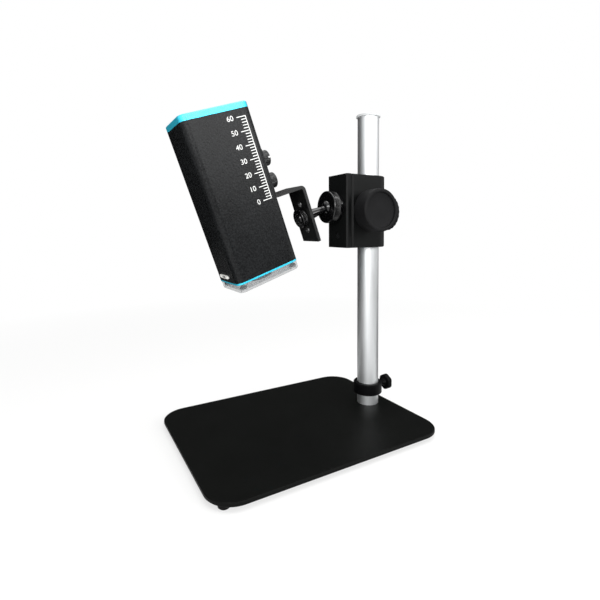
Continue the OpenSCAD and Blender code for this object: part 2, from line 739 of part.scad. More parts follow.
module shaft_screw() color("#2c2d2e") in_pinion() translate([0, 0, -tail_end - tail_washer_t])
    difference() {
        union() {
            translate([0, 0, -tail_head_t]) turned_disc(tail_head_r, tail_head_t, soft_edge / 2, fine_edge);
            cylinder(r = tail_screw_r, h = tail_washer_t + 2.6 * tail_screw_r);
        }
        translate([0, 0, -tail_head_t - over]) cylinder(r = tail_screw_r, h = tail_screw_r + over, $fn = 6);
    }

// Ball joint
module socket_housing() color("#121213") in_socket() difference() {
    union() {
        translate([0, 0, -spigot_l]) cylinder(r = spigot_r, h = spigot_l + over);
        turned_disc(socket_foot_r, socket_foot_h - face_gap, fine_edge, soft_edge);
        cylinder(r = thread_r, h = nose_end);
    }
    translate([0, 0, socket_floor]) cylinder(r = housing_bore_r, h = nose_end);
}

module ball_seat() color("#ddd9cc") in_socket() difference() {
    translate([0, 0, seat_floor]) cylinder(r = seat_r, h = nose_end - seat_floor - free_gap);
    translate([0, 0, ball_out]) sphere(seat_bore_r);
    translate([0, 0, ball_out]) cylinder(r = seat_bore_r, h = ring_h);
}

module locking_ring() color("#0e0e0f") in_socket() difference() {
    translate([0, 0, socket_foot_h]) turned_disc(ring_r, ring_h, soft_edge, soft_edge);
    translate([0, 0, socket_foot_h - over]) cylinder(r = thread_r + run_gap, h = ring_h - ring_lip + over);
    translate([0, 0, ball_out]) sphere(ball_r + face_gap);
}

module ball_stud() color("#131314") in_stem() rotate_extrude() difference() {
    union() {
        circle(ball_r);
        polygon([
            [0, 0], [neck_r, 0], [neck_r, neck_l], [stem_r, stem_l - shoulder_t - shoulder_taper],
            [stem_r + shoulder_out, stem_l - shoulder_t], [stem_r + shoulder_out, stem_l - face_gap],
            [stud_r, stem_l - face_gap], [stud_r, stud_end - soft_edge],
            [stud_r - soft_edge, stud_end], [0, stud_end]]);
    }
    translate([-ball_r - over, -ball_r - over]) square([ball_r + over, stud_end + 2 * ball_r]);
}

module thumb_nut() color("#161617") in_stem() translate([0, 0, nut_from]) difference() {
    union() {
        turned_disc(nut_r, nut_t * 0.85, soft_edge, soft_edge);
        cylinder(r1 = nut_r * 0.66, r2 = nut_r * 0.56, h = nut_t);
    }
    translate([0, 0, -over]) cylinder(r = stud_r + run_gap, h = nut_t + 2 * over);
}

// Bracket and its screws
module outer_corner(x, z, sx, sz, r) translate([x, z]) difference() {
    translate([sx > 0 ? 0 : -r, sz > 0 ? 0 : -r]) square(r);
    translate([sx * r, sz * r]) circle(r);
}

module bracket() color("#1d1e1f") in_body() {
    far = half_w + bracket_reach;
    web_low = web_top - bracket_t;
    leg_low = -stem_below - leg_tail;
    bend_out = bend_r + bracket_t;
    difference() {
        translate([0, bracket_w / 2, 0]) rotate([90, 0, 0]) linear_extrude(bracket_w) {
            difference() {
                union() {
                    translate([half_w, web_low]) square([bracket_t, flange_h + bracket_t]);
                    translate([half_w, web_low]) square([bracket_reach, bracket_t]);
                    translate([far - bracket_t, leg_low]) square([bracket_t, web_top - leg_low]);
                }
                outer_corner(half_w, web_low, 1, 1, bend_out);
                outer_corner(far, web_top, -1, -1, bend_out);
            }
            outer_corner(half_w + bracket_t, web_top, 1, 1, bend_r);
            outer_corner(far - bracket_t, web_low, -1, -1, bend_r);
        }
        for (z = thumb_z) translate([half_w - over, 0, z]) rotate([0, 90, 0])
            cylinder(r = thumb_r + free_gap, h = bracket_t + 2 * over);
        translate([far + over, 0, -stem_below]) rotate([0, -90, 0])
            cylinder(r = stud_r + run_gap, h = bracket_t + 2 * over);
        for (s = [-1, 1]) translate([far + over, 0, -stem_below + s * spare_pitch]) rotate([0, -90, 0])
            cylinder(r = spare_r, h = bracket_t + 2 * over);
    }
}

module thumbscrew(n) in_body() translate([half_w, 0, thumb_z[n]]) rotate([0, 90, 0]) rotate(thumb_turn[n]) {
    deep = shell_wall + insert_flange_t;
    translate([0, 0, -deep]) cylinder(r = thumb_r, h = deep + bracket_t + thumb_neck);
    translate([0, 0, bracket_t + face_gap]) cylinder(r = thumb_head_r * 0.7, h = thumb_neck);
    translate([0, 0, bracket_t + thumb_neck]) difference() {
        turned_disc(thumb_head_r, thumb_head_l, thumb_head_r / 9, thumb_head_r / 4);
        translate([-thumb_slot / 2, -thumb_head_r - over, thumb_head_l - 2 * thumb_slot])
            cube([thumb_slot, 2 * (thumb_head_r + over), 2 * thumb_slot + over]);
    }
}

module upper_thumbscrew() color("#1a1a1b") thumbscrew(0);

module lower_thumbscrew() color("#1a1a1b") thumbscrew(1);

// Microscope body
module body_shell() color("#26272a") in_body() difference() {
    linear_extrude(shell_l, center = true) difference() {
        union() {
            difference() {
                round_rect(body_w, body_d, body_r);
                round_rect(inner_w, inner_d, inner_r);
            }
            intersection() {
                at_ports() circle(port_r);
                round_rect(body_w, body_d, body_r);
            }
            for (s = [-1, 1], y = [main_board_y - hole_gap - guide_t, main_board_y + board_t + hole_gap])
                translate([s * (inner_w / 2 - guide_depth / 2 + shell_wall / 4), y + guide_t / 2])
                    square([guide_depth + shell_wall / 2, guide_t], center = true);
        }
        at_ports() circle(case_screw_r + run_gap);
    }
    translate([-half_w - over, button_y, button_z]) rotate([0, 90, 0])
        linear_extrude(shell_wall + 2 * over) slot_shape(button_l + 2 * free_gap, button_h + 2 * free_gap);
    translate([-inner_w / 2, button_y - button_l / 2 - button_lip - over, -half_l - over])
        cube([guide_depth + over, button_l + 2 * button_lip + 2 * over, button_z + half_l + button_h + over]);
    for (z = thumb_z) translate([half_w - shell_wall - over, 0, z]) rotate([0, 90, 0])
        cylinder(r = insert_r + run_gap, h = shell_wall + 2 * over);
}

module body_inserts() color("#b89b55") in_body() for (z = thumb_z)
    translate([half_w, 0, z]) rotate([0, -90, 0]) difference() {
        union() {
            cylinder(r = insert_r, h = shell_wall + insert_flange_t);
            translate([0, 0, shell_wall]) cylinder(r = insert_flange_r, h = insert_flange_t);
        }
        translate([0, 0, -over]) cylinder(r = thumb_r + run_gap, h = shell_wall + insert_flange_t + 2 * over);
    }

module top_cap() color("#2cc9e6") in_body() translate([0, 0, half_l]) difference() {
    union() {
        soft_slab(body_w, body_d, cap_t, body_r, fine_edge, cap_edge);
        for (s = [-1, 1]) translate([0, s * (inner_d / 2 - hole_gap - rib_t / 2), cap_t / 4 - cap_rib / 2])
            cube([inner_w - 4 * port_inset, rib_t, cap_rib + cap_t / 2], center = true);
    }
    at_ports() {
        translate([0, 0, -over]) cylinder(r = case_screw_r + hole_gap, h = cap_t + 2 * over);
        translate([0, 0, cap_t - case_head_t]) cylinder(r = case_head_r + hole_gap, h = case_head_t + over);
    }
    translate([0, usb_y, -over]) linear_extrude(cap_t + 2 * over)
        rotate(90) slot_shape(usb_w + 2 * hole_gap, usb_d + 2 * hole_gap);
}

// Socket screw with its head's outer face on z = 0
module case_screw(l) difference() {
    union() {
        turned_disc(case_head_r, case_head_t - head_sunk, soft_edge / 2, fine_edge);
        cylinder(r = case_screw_r, h = l);
    }
    translate([0, 0, -over]) cylinder(r = case_screw_r * 0.8, h = case_head_t / 2 + over, $fn = 6);
}

module cap_screws() color("#1f2021") in_body() translate([0, 0, half_l + cap_t - head_sunk]) mirror([0, 0, 1])
    at_ports() case_screw(cap_t + case_screw_l);

module trim_plate() color("#2cc9e6") in_body() translate([0, 0, -half_l - trim_t]) difference() {
    soft_slab(body_w, body_d, trim_t, body_r, fine_edge, fine_edge);
    translate([0, 0, -over]) linear_extrude(trim_t + 2 * over) round_rect(window_w, window_d, window_r);
    at_ports() translate([0, 0, -over]) cylinder(r = case_screw_r + hole_gap, h = trim_t + 2 * over);
}

module nose_cover() color("#d9dde0") in_body() translate([0, 0, nose_low]) difference() {
    soft_slab(body_w - 2 * nose_inset, body_d - 2 * nose_inset, nose_h,
        body_r - nose_inset, nose_edge, fine_edge);
    translate([0, 0, nose_pane]) linear_extrude(nose_h) difference() {
        inset = nose_inset + nose_side;
        round_rect(body_w - 2 * inset, body_d - 2 * inset, body_r - inset);
        at_ports() circle(case_head_r + hole_gap + post_wall);
    }
    translate([0, 0, -over]) cylinder(r = barrel_r + 2 * free_gap, h = nose_h);
    at_ports() {
        translate([0, 0, -over]) cylinder(r = case_screw_r + hole_gap, h = nose_h + 2 * over);
        translate([0, 0, -over]) cylinder(r = case_head_r + hole_gap, h = nose_h - nose_floor + over);
    }
}

module nose_screws() color("#18191a") in_body() translate([0, 0, screw_seat - case_head_t + head_sunk])
    at_ports() case_screw(case_head_t + case_screw_l);

module snapshot_button() color("#f2f2ee") in_body()
    translate([-half_w, button_y, button_z]) rotate([0, -90, 0]) {
        back = shell_wall + face_gap;
        translate([0, 0, -back - button_lip_t / 2])
            linear_extrude(back + button_lip_t / 2 + button_proud) slot_shape(button_l, button_h);
        translate([0, 0, -back - button_lip_t]) linear_extrude(button_lip_t)
            slot_shape(button_l + 2 * button_lip, button_h + 2 * button_lip);
    }

module button_switch() color("#2b2d30") in_body() translate([switch_tip_x, button_y, board_top]) {
    rise = button_z - board_top;
    translate([plunger_l, -switch_w / 2, 0]) cube([switch_t, switch_w, rise + switch_t / 2]);
    translate([0, 0, rise]) rotate([0, 90, 0]) cylinder(r = plunger_r, h = plunger_l + switch_t / 4);
}

module led_board() color("#e8ebe6") in_body() translate([0, 0, -half_l]) {
    long = inner_w - 2 * guide_depth - 3 * hole_gap;
    deep = inner_d - 4 * free_gap;
    room = port_r + 2 * free_gap;
    linear_extrude(board_t) difference() {
        union() {
            square([long, 2 * (port_y - room)], center = true);
            square([2 * (port_x - room), deep], center = true);
        }
        circle(barrel_r + free_gap);
    }
}

module leds() color("#fff6d8") in_body() for (s = [-1, 1], n = [-1 : 1])
    translate([s * led_x, n * led_pitch, -half_l]) rotate([180, 0, 0]) rotate_extrude() intersection() {
        union() {
            square([led_r + led_rim, led_rim_t]);
            square([led_r, led_h - led_r]);
            translate([0, led_h - led_r]) circle(led_r);
        }
        square([2 * led_r, led_h]);
    }

// Optics and boards
module lens_mount() color("#1d1e20") in_body() translate([0, 0, board_top]) difference() {
    union() {
        cylinder(r = barrel_r + run_gap + mount_wall, h = mount_h);
        cylinder(r = barrel_r + run_gap + mount_wall + mount_foot, h = mount_flange_t);
        translate([0, 0, mount_h - mount_flange_t]) linear_extrude(mount_flange_t)
            round_rect(mount_flange_w, mount_flange_d, flange_r);
    }
    translate([0, 0, -over]) cylinder(r = barrel_r + run_gap, h = mount_h + 2 * over);
}

module lens_barrel() color("#0f0f10") in_body() translate([0, 0, barrel_front]) difference() {
    cylinder(r = barrel_r, h = barrel_l);
    translate([0, 0, -over]) cylinder(r = barrel_r - barrel_wall, h = over + lens_seat);
    translate([0, 0, -over]) cylinder(r = barrel_r - 2 * barrel_wall, h = barrel_l + 2 * over);
    translate([0, 0, rear_lens_z]) cylinder(r = rear_seat_r, h = barrel_l - rear_lens_z + over);
}

module front_lens() color("#9fc4d6") in_body() translate([0, 0, barrel_front + lens_seat - front_lens_t])
    domed_lens(barrel_r - barrel_wall - run_gap, front_lens_t);

module rear_lens() color("#9fc4d6") in_body() translate([0, 0, barrel_front + rear_lens_z])
    cylinder(r = rear_seat_r - run_gap, h = rear_lens_t);

module sensor_board() color("#2c6b3a") in_body() translate([0, 0, mount_top]) linear_extrude(board_t)
    round_rect(mount_flange_w - 2 * board_margin, mount_flange_d - 2 * board_margin, board_margin);

module image_sensor() color("#3c4046") in_body()
    translate([-sensor_w / 2, -sensor_d / 2, mount_top - sensor_t]) cube([sensor_w, sensor_d, sensor_t]);

module main_board() color("#2c6b3a") in_body()
    translate([-inner_w / 2 + hole_gap, main_board_y, sensor_top])
        cube([inner_w - 2 * hole_gap, board_t, main_top - sensor_top]);

module video_chip() color("#1b1c1e") in_body()
    translate([-chip_w / 2, main_board_y - chip_t, (sensor_top + main_top - chip_w) / 2])
        cube([chip_w, chip_t, chip_w]);

module board_link() color("#e9e4d2") in_body() translate([-link_w / 2, main_board_y - link_d, sensor_top])
    cube([link_w, link_d, link_h]);

module usb_socket() color("#b9bcc0") in_body() translate([0, usb_y, usb_top]) {
    translate([0, 0, -usb_l]) difference() {
        linear_extrude(usb_l) rotate(90) slot_shape(usb_w, usb_d);
        translate([0, 0, usb_l - usb_deep]) linear_extrude(usb_l)
            rotate(90) slot_shape(usb_w - 2 * usb_wall, usb_d - 2 * usb_wall);
    }
    translate([-usb_tongue_w / 2, -usb_tongue_t / 2, -usb_l + over])
        cube([usb_tongue_w, usb_tongue_t, usb_l - over - tongue_sunk]);
}

base_plate();
rubber_feet();
pole();
pole_plug();
pole_screw();
pole_end_cap();
stop_collar();
collar_screw();
liner_bush();
focus_block();
lock_knob();
lock_screw();
slide_plate();
rack();
rack_screw();
pinion_shaft();
focus_knob();
shaft_washer();
shaft_screw();
socket_housing();
ball_seat();
locking_ring();
ball_stud();
thumb_nut();
bracket();
upper_thumbscrew();
lower_thumbscrew();
body_shell();
body_inserts();
top_cap();
cap_screws();
trim_plate();
nose_cover();
nose_screws();
snapshot_button();
button_switch();
led_board();
leds();
lens_mount();
lens_barrel();
front_lens();
rear_lens();
sensor_board();
image_sensor();
main_board();
video_chip();
board_link();
usb_socket();
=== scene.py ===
"""Looks of a USB digital microscope on a pole stand.

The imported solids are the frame. They keep their shapes and get their finishes here. Turned grips
and knobs stand for the plain solids of the screws, the ring, the nut and the knobs, and the printed
scale, the button's mark and the socket's contacts are modelled on the others.
"""

import json
import math

import bpy
from mathutils import Matrix, Vector


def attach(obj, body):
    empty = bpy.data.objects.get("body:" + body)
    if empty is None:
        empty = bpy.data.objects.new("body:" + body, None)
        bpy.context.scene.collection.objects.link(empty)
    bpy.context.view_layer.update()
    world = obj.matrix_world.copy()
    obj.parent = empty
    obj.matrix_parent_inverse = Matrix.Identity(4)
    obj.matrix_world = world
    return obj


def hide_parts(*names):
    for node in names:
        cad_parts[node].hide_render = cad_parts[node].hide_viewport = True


bl_info = {
    "name": "USB Microscope Looks",
    "version": (1, 0, 0),
    "blender": (4, 5, 0),
    "location": "View3D > Sidebar > Microscope",
    "description": "Finishes, turned grips, printed scale and studio for a USB microscope on its stand",
    "category": "Object",
}

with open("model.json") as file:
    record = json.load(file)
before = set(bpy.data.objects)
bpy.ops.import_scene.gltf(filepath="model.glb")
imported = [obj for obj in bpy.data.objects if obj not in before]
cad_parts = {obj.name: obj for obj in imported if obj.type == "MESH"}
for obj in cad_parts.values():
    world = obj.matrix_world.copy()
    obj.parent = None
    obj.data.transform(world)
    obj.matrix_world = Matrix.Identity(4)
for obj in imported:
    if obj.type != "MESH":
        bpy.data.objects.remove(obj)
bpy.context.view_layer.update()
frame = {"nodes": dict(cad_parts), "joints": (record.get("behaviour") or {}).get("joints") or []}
NODES = frame["nodes"]
JOINTS = {joint["name"]: joint for joint in frame["joints"]}
MM = 0.001
# Slack in metres for a test of a vertex's place
HAIR = 1e-6
# Faces that meet at less than this are shaded as one smooth surface
SMOOTH_BELOW = math.radians(32)
# Steps of a turned circle round a plain knob and a printed ring
KNOB_STEPS = 128
RING_STEPS = 32
# Steps of a turned circle in one knurl tooth, one flute and one lobe
TOOTH_STEPS = 4
FLUTE_STEPS = 8
LOBE_STEPS = 16
# Steps of a card's circle, 5 degrees each
CARD_STEPS = 72
# The frame's width in pixels, and the camera's focal length and shift in the same pixels
FRAME_WIDTH = 600
FOCAL_LENGTH = 413.28
FRAME_SHIFT = -50
WHITE = (1, 1, 1, 1)


def linear(code):
    """Turn an sRGB hex colour into linear red, green and blue."""
    parts = [int(code[i:i + 2], 16) / 255 for i in (1, 3, 5)]
    return tuple(c / 12.92 if c <= 0.04045 else ((c + 0.055) / 1.055) ** 2.4 for c in parts)


def colour_prop(name, code, words):
    """A colour that a user can set, from an sRGB hex value."""
    return bpy.props.FloatVectorProperty(
        name=name, description=words, subtype="COLOR", size=3, min=0, max=1, default=linear(code))


def length_prop(name, size, words):
    """A length that a user can set, from millimetres."""
    return bpy.props.FloatProperty(
        name=name, description=words, unit="LENGTH", precision=5, min=0, default=size * MM)


def count_prop(name, count, least, words):
    """A number of like forms that a user can set."""
    return bpy.props.IntProperty(name=name, description=words, min=least, default=count)


def angle_prop(name, degrees, words):
    """An angle that a user can set, from degrees."""
    return bpy.props.FloatProperty(
        name=name, description=words, subtype="ANGLE", default=math.radians(degrees))


class MicroscopeColours(bpy.types.PropertyGroup):
    """Colours that a user would change."""

    coat: colour_prop("Powder coat", "#0A0B0A", "Base plate")
    pole: colour_prop("Pole", "#D2D4D5", "Satin anodised tube")
    block: colour_prop("Focus block", "#0E0F0F", "Black anodised block, slide and lens barrel")
    knob: colour_prop("Knobs", "#131314", "Moulded knobs")
    gloss: colour_prop("Polished black", "#070708", "Ball joint, stem and thumb nut")
    shell: colour_prop("Shell", "#151617", "Bead blasted and anodised microscope shell")
    accent: colour_prop("Top cap and trim", "#3FDAF9", "Dyed anodised top cap and trim plate")
    button: colour_prop("Button", "#F1F1EC", "Snapshot button")
    ink: colour_prop("Printed scale", "#E9EAE8", "Screen printed scale on the wide face")
    clear: colour_prop("Nose", "#828486", "Clear nose cover")


class MicroscopeSizes(bpy.types.PropertyGroup):
    """Sizes of the grips and the print."""

    ring_teeth: count_prop("Ring teeth", 84, 24, "Knurl teeth round the locking ring")
    nut_teeth: count_prop("Nut teeth", 48, 16, "Knurl teeth round the thumb nut")
    screw_teeth: count_prop("Screw teeth", 36, 12, "Knurl teeth round a thumbscrew's head")
    knurl_depth: length_prop("Knurl depth", 0.3, "Depth of the knurls below their crests")
    lobes: count_prop("Lobes", 6, 4, "Lobes round the collar screw's head")
    lobe_depth: length_prop("Lobe depth", 0.5, "Depth of the hollows between those lobes")
    flutes: count_prop("Flutes", 24, 8, "Grip flutes round the lock knob")
    flute_depth: length_prop("Flute depth", 0.3, "Depth of the lock knob's flutes")
    tick_step: length_prop("Tick step", 2, "Spacing of the printed ticks")
    tick_width: length_prop("Tick width", 0.55, "Width of a printed tick")
    scale_length: length_prop("Scale length", 60, "Length of the printed scale")
    ink_height: length_prop("Ink height", 0.04, "How far the prints stand on shell and button")


class MicroscopeStudio(bpy.types.PropertyGroup):
    """Camera and floor."""

    place: bpy.props.FloatVectorProperty(
        name="Camera place", description="Where the camera stands", subtype="TRANSLATION",
        unit="LENGTH", size=3, default=(-0.16533, -0.29333, 0.16465))
    yaw: angle_prop("Yaw", 59.904, "Heading of the camera from +X")
    pitch: angle_prop("Pitch", -2.823, "Upward tilt of the camera")
    roll: angle_prop("Roll", -0.314, "Turn of the camera about its own axis")
    focal: bpy.props.FloatProperty(
        name="Focal share", description="Focal length as a share of the frame's width",
        default=FOCAL_LENGTH / FRAME_WIDTH)
    shift: bpy.props.FloatProperty(
        name="Shift", description="Upward shift of the frame as a share of its width",
        default=FRAME_SHIFT / FRAME_WIDTH)
    floor: colour_prop("Floor", "#F4F4F3", "Plain pale floor")


def add(tree, kind, settings=(), links=()):
    """Add one node to a tree, set its inputs or properties, and link its inputs."""
    node = tree.nodes.new(kind)
    for key, value in dict(settings).items():
        if isinstance(key, int) or key in node.inputs:
            node.inputs[key].default_value = value
        else:
            setattr(node, key, value)
    for key, source in dict(links).items():
        tree.links.new(source, node.inputs[key])
    return node


def new_material(name):
    """An empty material and its node tree."""
    material = bpy.data.materials.new(name)
    material.use_nodes = True
    material.node_tree.nodes.clear()
    return material, material.node_tree


def shade(colour, level=1):
    """A darker or lighter shade of a linear colour, with its alpha."""
    return tuple(min(1, c * level) for c in colour[:3]) + (1,)


def grained(name, colour, grain, rough, bump, spread, metal=0.0, shine=0.5, stretch=(1, 1, 1), **more):
    """A surface with a fine grain in its colour, its roughness and its height.

    grain is the grain's size and bump its height, both in millimetres. rough is the roughness in
    the hollows and on the crests, spread how far the colour strays from its middle, and shine the
    specular level.
    """
    cloud, cloud_share = 24 * MM, 0.3
    heights = {"From Min": 0.35, "From Max": 0.95}
    material, tree = new_material(name)
    where = add(tree, "ShaderNodeTexCoord").outputs["Object"]
    stretched = add(tree, "ShaderNodeMapping", {"Scale": stretch}, {"Vector": where})
    fine = add(tree, "ShaderNodeTexNoise", {"Scale": 1 / (grain * MM), "Detail": 3, "Roughness": 0.6},
               {"Vector": stretched.outputs[0]})
    broad = add(tree, "ShaderNodeTexNoise", {"Scale": 1 / cloud, "Detail": 2}, {"Vector": where})
    both = add(tree, "ShaderNodeMath", {"operation": "MULTIPLY_ADD", 1: cloud_share},
               {0: broad.outputs[0], 2: fine.outputs[0]})
    level = add(tree, "ShaderNodeMapRange", heights, {"Value": both.outputs[0]})
    tint = add(tree, "ShaderNodeMix",
               {"data_type": "RGBA", 6: shade(colour, 1 - spread), 7: shade(colour, 1 + spread)},
               {0: level.outputs[0]})
    roughness = add(tree, "ShaderNodeMapRange", {**heights, "To Min": rough[0], "To Max": rough[1]},
                    {"Value": both.outputs[0]})
    raised = add(tree, "ShaderNodeBump", {"Strength": 0.5, "Distance": bump * MM},
                 {"Height": both.outputs[0]})
    skin = add(tree, "ShaderNodeBsdfPrincipled",
               {"Metallic": metal, "Specular IOR Level": shine, **more},
               {"Base Color": tint.outputs[2], "Roughness": roughness.outputs[0],
                "Normal": raised.outputs[0]})
    add(tree, "ShaderNodeOutputMaterial", links={"Surface": skin.outputs[0]})
    return material


def see_through(name, colour, ior, rough, grain, **more):
    """Clear plastic or glass with a faint unevenness, whose size is grain in millimetres."""
    material, tree = new_material(name)
    where = add(tree, "ShaderNodeTexCoord").outputs["Object"]
    cloud = add(tree, "ShaderNodeTexNoise", {"Scale": 1 / (grain * MM), "Detail": 2}, {"Vector": where})
    haze = add(tree, "ShaderNodeMapRange", {"To Min": rough[0], "To Max": rough[1]},
               {"Value": cloud.outputs[0]})
    skin = add(tree, "ShaderNodeBsdfPrincipled",
               {"Base Color": shade(colour), "Transmission Weight": 1.0, "IOR": ior, **more},
               {"Roughness": haze.outputs[0]})
    add(tree, "ShaderNodeOutputMaterial", links={"Surface": skin.outputs[0]})
    return material


def circuit(name, mask, track, pitch):
    """Solder mask over a board, with tracks of another shade under it in steps of pitch millimetres."""
    track_height = 0.03 * MM
    material, tree = new_material(name)
    where = add(tree, "ShaderNodeTexCoord").outputs["Object"]
    cells = add(tree, "ShaderNodeTexVoronoi",
                {"distance": "MANHATTAN", "feature": "F1", "Randomness": 0.55, "Scale": 1 / (pitch * MM)},
                {"Vector": where})
    lines = add(tree, "ShaderNodeTexWave", {"Scale": 1 / (4 * pitch * MM), "Distortion": 0},
                {"Vector": cells.outputs["Position"]})
    tracks = add(tree, "ShaderNodeMapRange", {"From Min": 0.55, "From Max": 0.6},
                 {"Value": lines.outputs[1]})
    tint = add(tree, "ShaderNodeMix", {"data_type": "RGBA", 6: shade(mask), 7: shade(track)},
               {0: tracks.outputs[0]})
    raised = add(tree, "ShaderNodeBump", {"Strength": 0.4, "Distance": track_height},
                 {"Height": tracks.outputs[0]})
    skin = add(tree, "ShaderNodeBsdfPrincipled", {"Roughness": 0.35},
               {"Base Color": tint.outputs[2], "Normal": raised.outputs[0]})
    add(tree, "ShaderNodeOutputMaterial", links={"Surface": skin.outputs[0]})
    return material


def looked_at(tree):
    """1 for the camera, a reflection or a view through clear plastic, and 0 for light on a surface."""
    ray = add(tree, "ShaderNodeLightPath")
    seen = add(tree, "ShaderNodeMath", {"operation": "MAXIMUM"},
               {0: ray.outputs["Is Camera Ray"], 1: ray.outputs["Is Transmission Ray"]})
    shown = add(tree, "ShaderNodeMath", {"operation": "MAXIMUM"},
                {0: seen.outputs[0], 1: ray.outputs["Is Glossy Ray"]})
    return shown.outputs[0]


def dress(material, *names):
    """Give CAD nodes a material."""
    for name in names:
        mesh = NODES[name].data
        mesh.materials.clear()
        mesh.materials.append(material)


def settle(piece, name, place, material, body, node=None):
    """Put a piece made at the origin in its place, finish its mesh, and hang it on its body."""
    piece.name = piece.data.name = name
    piece.matrix_world = place
    bpy.ops.object.transform_apply(location=True, rotation=True, scale=True)
    bpy.ops.object.shade_smooth_by_angle(angle=SMOOTH_BELOW)
    piece.data.materials.clear()
    piece.data.materials.append(material)
    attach(piece, body)
    if node:
        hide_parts(node)
    return piece


def edit(piece, test):
    """Go to edit mode with only the vertices selected whose place passes the test."""
    bpy.ops.object.mode_set(mode="EDIT")
    bpy.ops.mesh.select_mode(type="VERT")
    bpy.ops.mesh.select_all(action="DESELECT")
    bpy.ops.object.mode_set(mode="OBJECT")
    for vertex in piece.data.vertices:
        vertex.select = test(vertex.co)
    bpy.ops.object.mode_set(mode="EDIT")


def choose(context, *pieces):
    """Select only these pieces, the first of them active."""
    bpy.ops.object.select_all(action="DESELECT")
    for piece in pieces:
        piece.select_set(True)
    context.view_layer.objects.active = pieces[0]


def join(context, pieces):
    """Make one piece of several."""
    choose(context, *pieces)
    bpy.ops.object.join()
    return context.object


def copy_at(context, piece, place):
    """A copy of a piece, with its own mesh, moved to a place."""
    choose(context, piece)
    bpy.ops.object.duplicate()
    context.object.location = place
    bpy.ops.object.transform_apply(location=True, rotation=True, scale=True)
    return context.object


def box(context, size, centre, turn=0.0):
    """A box of a size round a centre, turned about +Z."""
    bpy.ops.object.select_all(action="DESELECT")
    bpy.ops.mesh.primitive_cube_add(size=1, location=centre, rotation=(0, 0, turn))
    context.object.scale = size
    bpy.ops.object.transform_apply(location=True, rotation=True, scale=True)
    return context.object


def strip(context, size, centre):
    """A flat strip of a length and a width round a centre."""
    bpy.ops.object.select_all(action="DESELECT")
    bpy.ops.mesh.primitive_plane_add(size=1, location=(*centre, 0))
    context.object.scale = (*size, 1)
    bpy.ops.object.transform_apply(location=True, rotation=True, scale=True)
    return context.object


def lathe(profile, steps, bored=False):
    """Turn a profile of (radius, height) pairs in metres about +Z, by extruding a circle ring by ring.

    A bored profile closes on itself, and any other gets a flat cap at both ends.
    """
    bpy.ops.object.select_all(action="DESELECT")
    (radius, height), *rest = profile
    bpy.ops.mesh.primitive_circle_add(vertices=steps, radius=radius, location=(0, 0, height))
    bpy.ops.object.transform_apply(location=True)
    piece = bpy.context.object
    bpy.ops.object.mode_set(mode="EDIT")
    bpy.ops.mesh.select_mode(type="EDGE")
    bpy.ops.mesh.select_all(action="SELECT")
    if not bored:
        bpy.ops.mesh.edge_face_add()
        bpy.ops.mesh.select_all(action="DESELECT")
        bpy.ops.mesh.select_non_manifold()
    for wide, high in rest:
        bpy.ops.mesh.extrude_region_move(TRANSFORM_OT_translate={"value": (0, 0, high - height)})
        share = wide / radius
        bpy.ops.transform.resize(value=(share, share, 1), center_override=(0, 0, high))
        radius, height = wide, high
    if bored:
        bpy.ops.mesh.select_all(action="DESELECT")
        bpy.ops.mesh.select_non_manifold()
        bpy.ops.mesh.bridge_edge_loops()
    else:
        bpy.ops.mesh.edge_face_add()
    bpy.ops.mesh.select_all(action="SELECT")
    bpy.ops.mesh.normals_make_consistent(inside=False)
    bpy.ops.object.mode_set(mode="OBJECT")
    return piece


def flute(piece, count, each, depth, low, high, radius):
    """Press count even hollows, each of so many steps, into a turned rim from one height to another."""
    steps = count * each
    for phase in range(1, each):
        sunk = depth * (1 - math.cos(2 * math.pi * phase / each)) / 2

        def in_hollow(place):
            index = round(math.atan2(place.y, place.x) / (2 * math.pi) * steps) % each
            on_rim = math.hypot(place.x, place.y) > radius - HAIR
            return on_rim and index == phase and low - HAIR < place.z < high + HAIR

        edit(piece, in_hollow)
        share = 1 - sunk / radius
        bpy.ops.transform.resize(value=(share, share, 1), center_override=(0, 0, 0))
        bpy.ops.object.mode_set(mode="OBJECT")


def rounded(radius, height, edge, up=True, steps=3):
    """Points of a rounded edge, as (radius, height) pairs round a rim's upper or lower corner."""
    points = []
    for k in range(steps + 1):
        turn = math.pi / 2 * k / steps
        across, along = edge * (1 - math.cos(turn)), edge * (1 - math.sin(turn))
        points.append((radius - across, height - along) if up else (radius - along, height + across))
    return points


def rim(radius, low, high, edge, band=None):
    """Points up a rim with rounded edges. A knurled rim has a plain band of that height at both ends."""
    points = rounded(radius, low, edge, up=False)
    if band:
        points += [(radius, low + edge + band), (radius, high - edge - band)]
    return points + rounded(radius, high, edge)


def axis_frame(joint, turned_over=False):
    """A frame on a joint's axis with +Z along it, or against it."""
    axis = Vector(JOINTS[joint]["axis"]) * (-1 if turned_over else 1)
    turn = Vector((0, 0, 1)).rotation_difference(axis)
    return Matrix.Translation(JOINTS[joint]["pos_m"]) @ turn.to_matrix().to_4x4()


def extent(node, place):
    """Lowest and highest point of a CAD node along a frame's +Z, and its largest radius about it."""
    back = place.inverted()
    spots = [back @ vertex.co for vertex in NODES[node].data.vertices]
    heights = [spot.z for spot in spots]
    return min(heights), max(heights), max(math.hypot(spot.x, spot.y) for spot in spots)


def corners(node, back):
    """Lowest and highest corner of a CAD node's box, in the frame that a matrix leads back to."""
    spots = [back @ vertex.co for vertex in NODES[node].data.vertices]
    return [Vector([end(spot[i] for spot in spots) for i in range(3)]) for end in (min, max)]


def body_frame():
    """The leaning microscope's frame, and half the size of its shell.

    +X points away from the narrow face, +Z to the top, and the origin is the shell's middle.
    """
    across = Vector(JOINTS["button_press"]["axis"])
    beside = Vector((0, 1, 0))
    turn = Matrix((across, beside, across.cross(beside))).transposed()
    low, high = corners("body_shell", turn.transposed())
    return Matrix.Translation(turn @ ((low + high) / 2)) @ turn.to_4x4(), (high - low) / 2


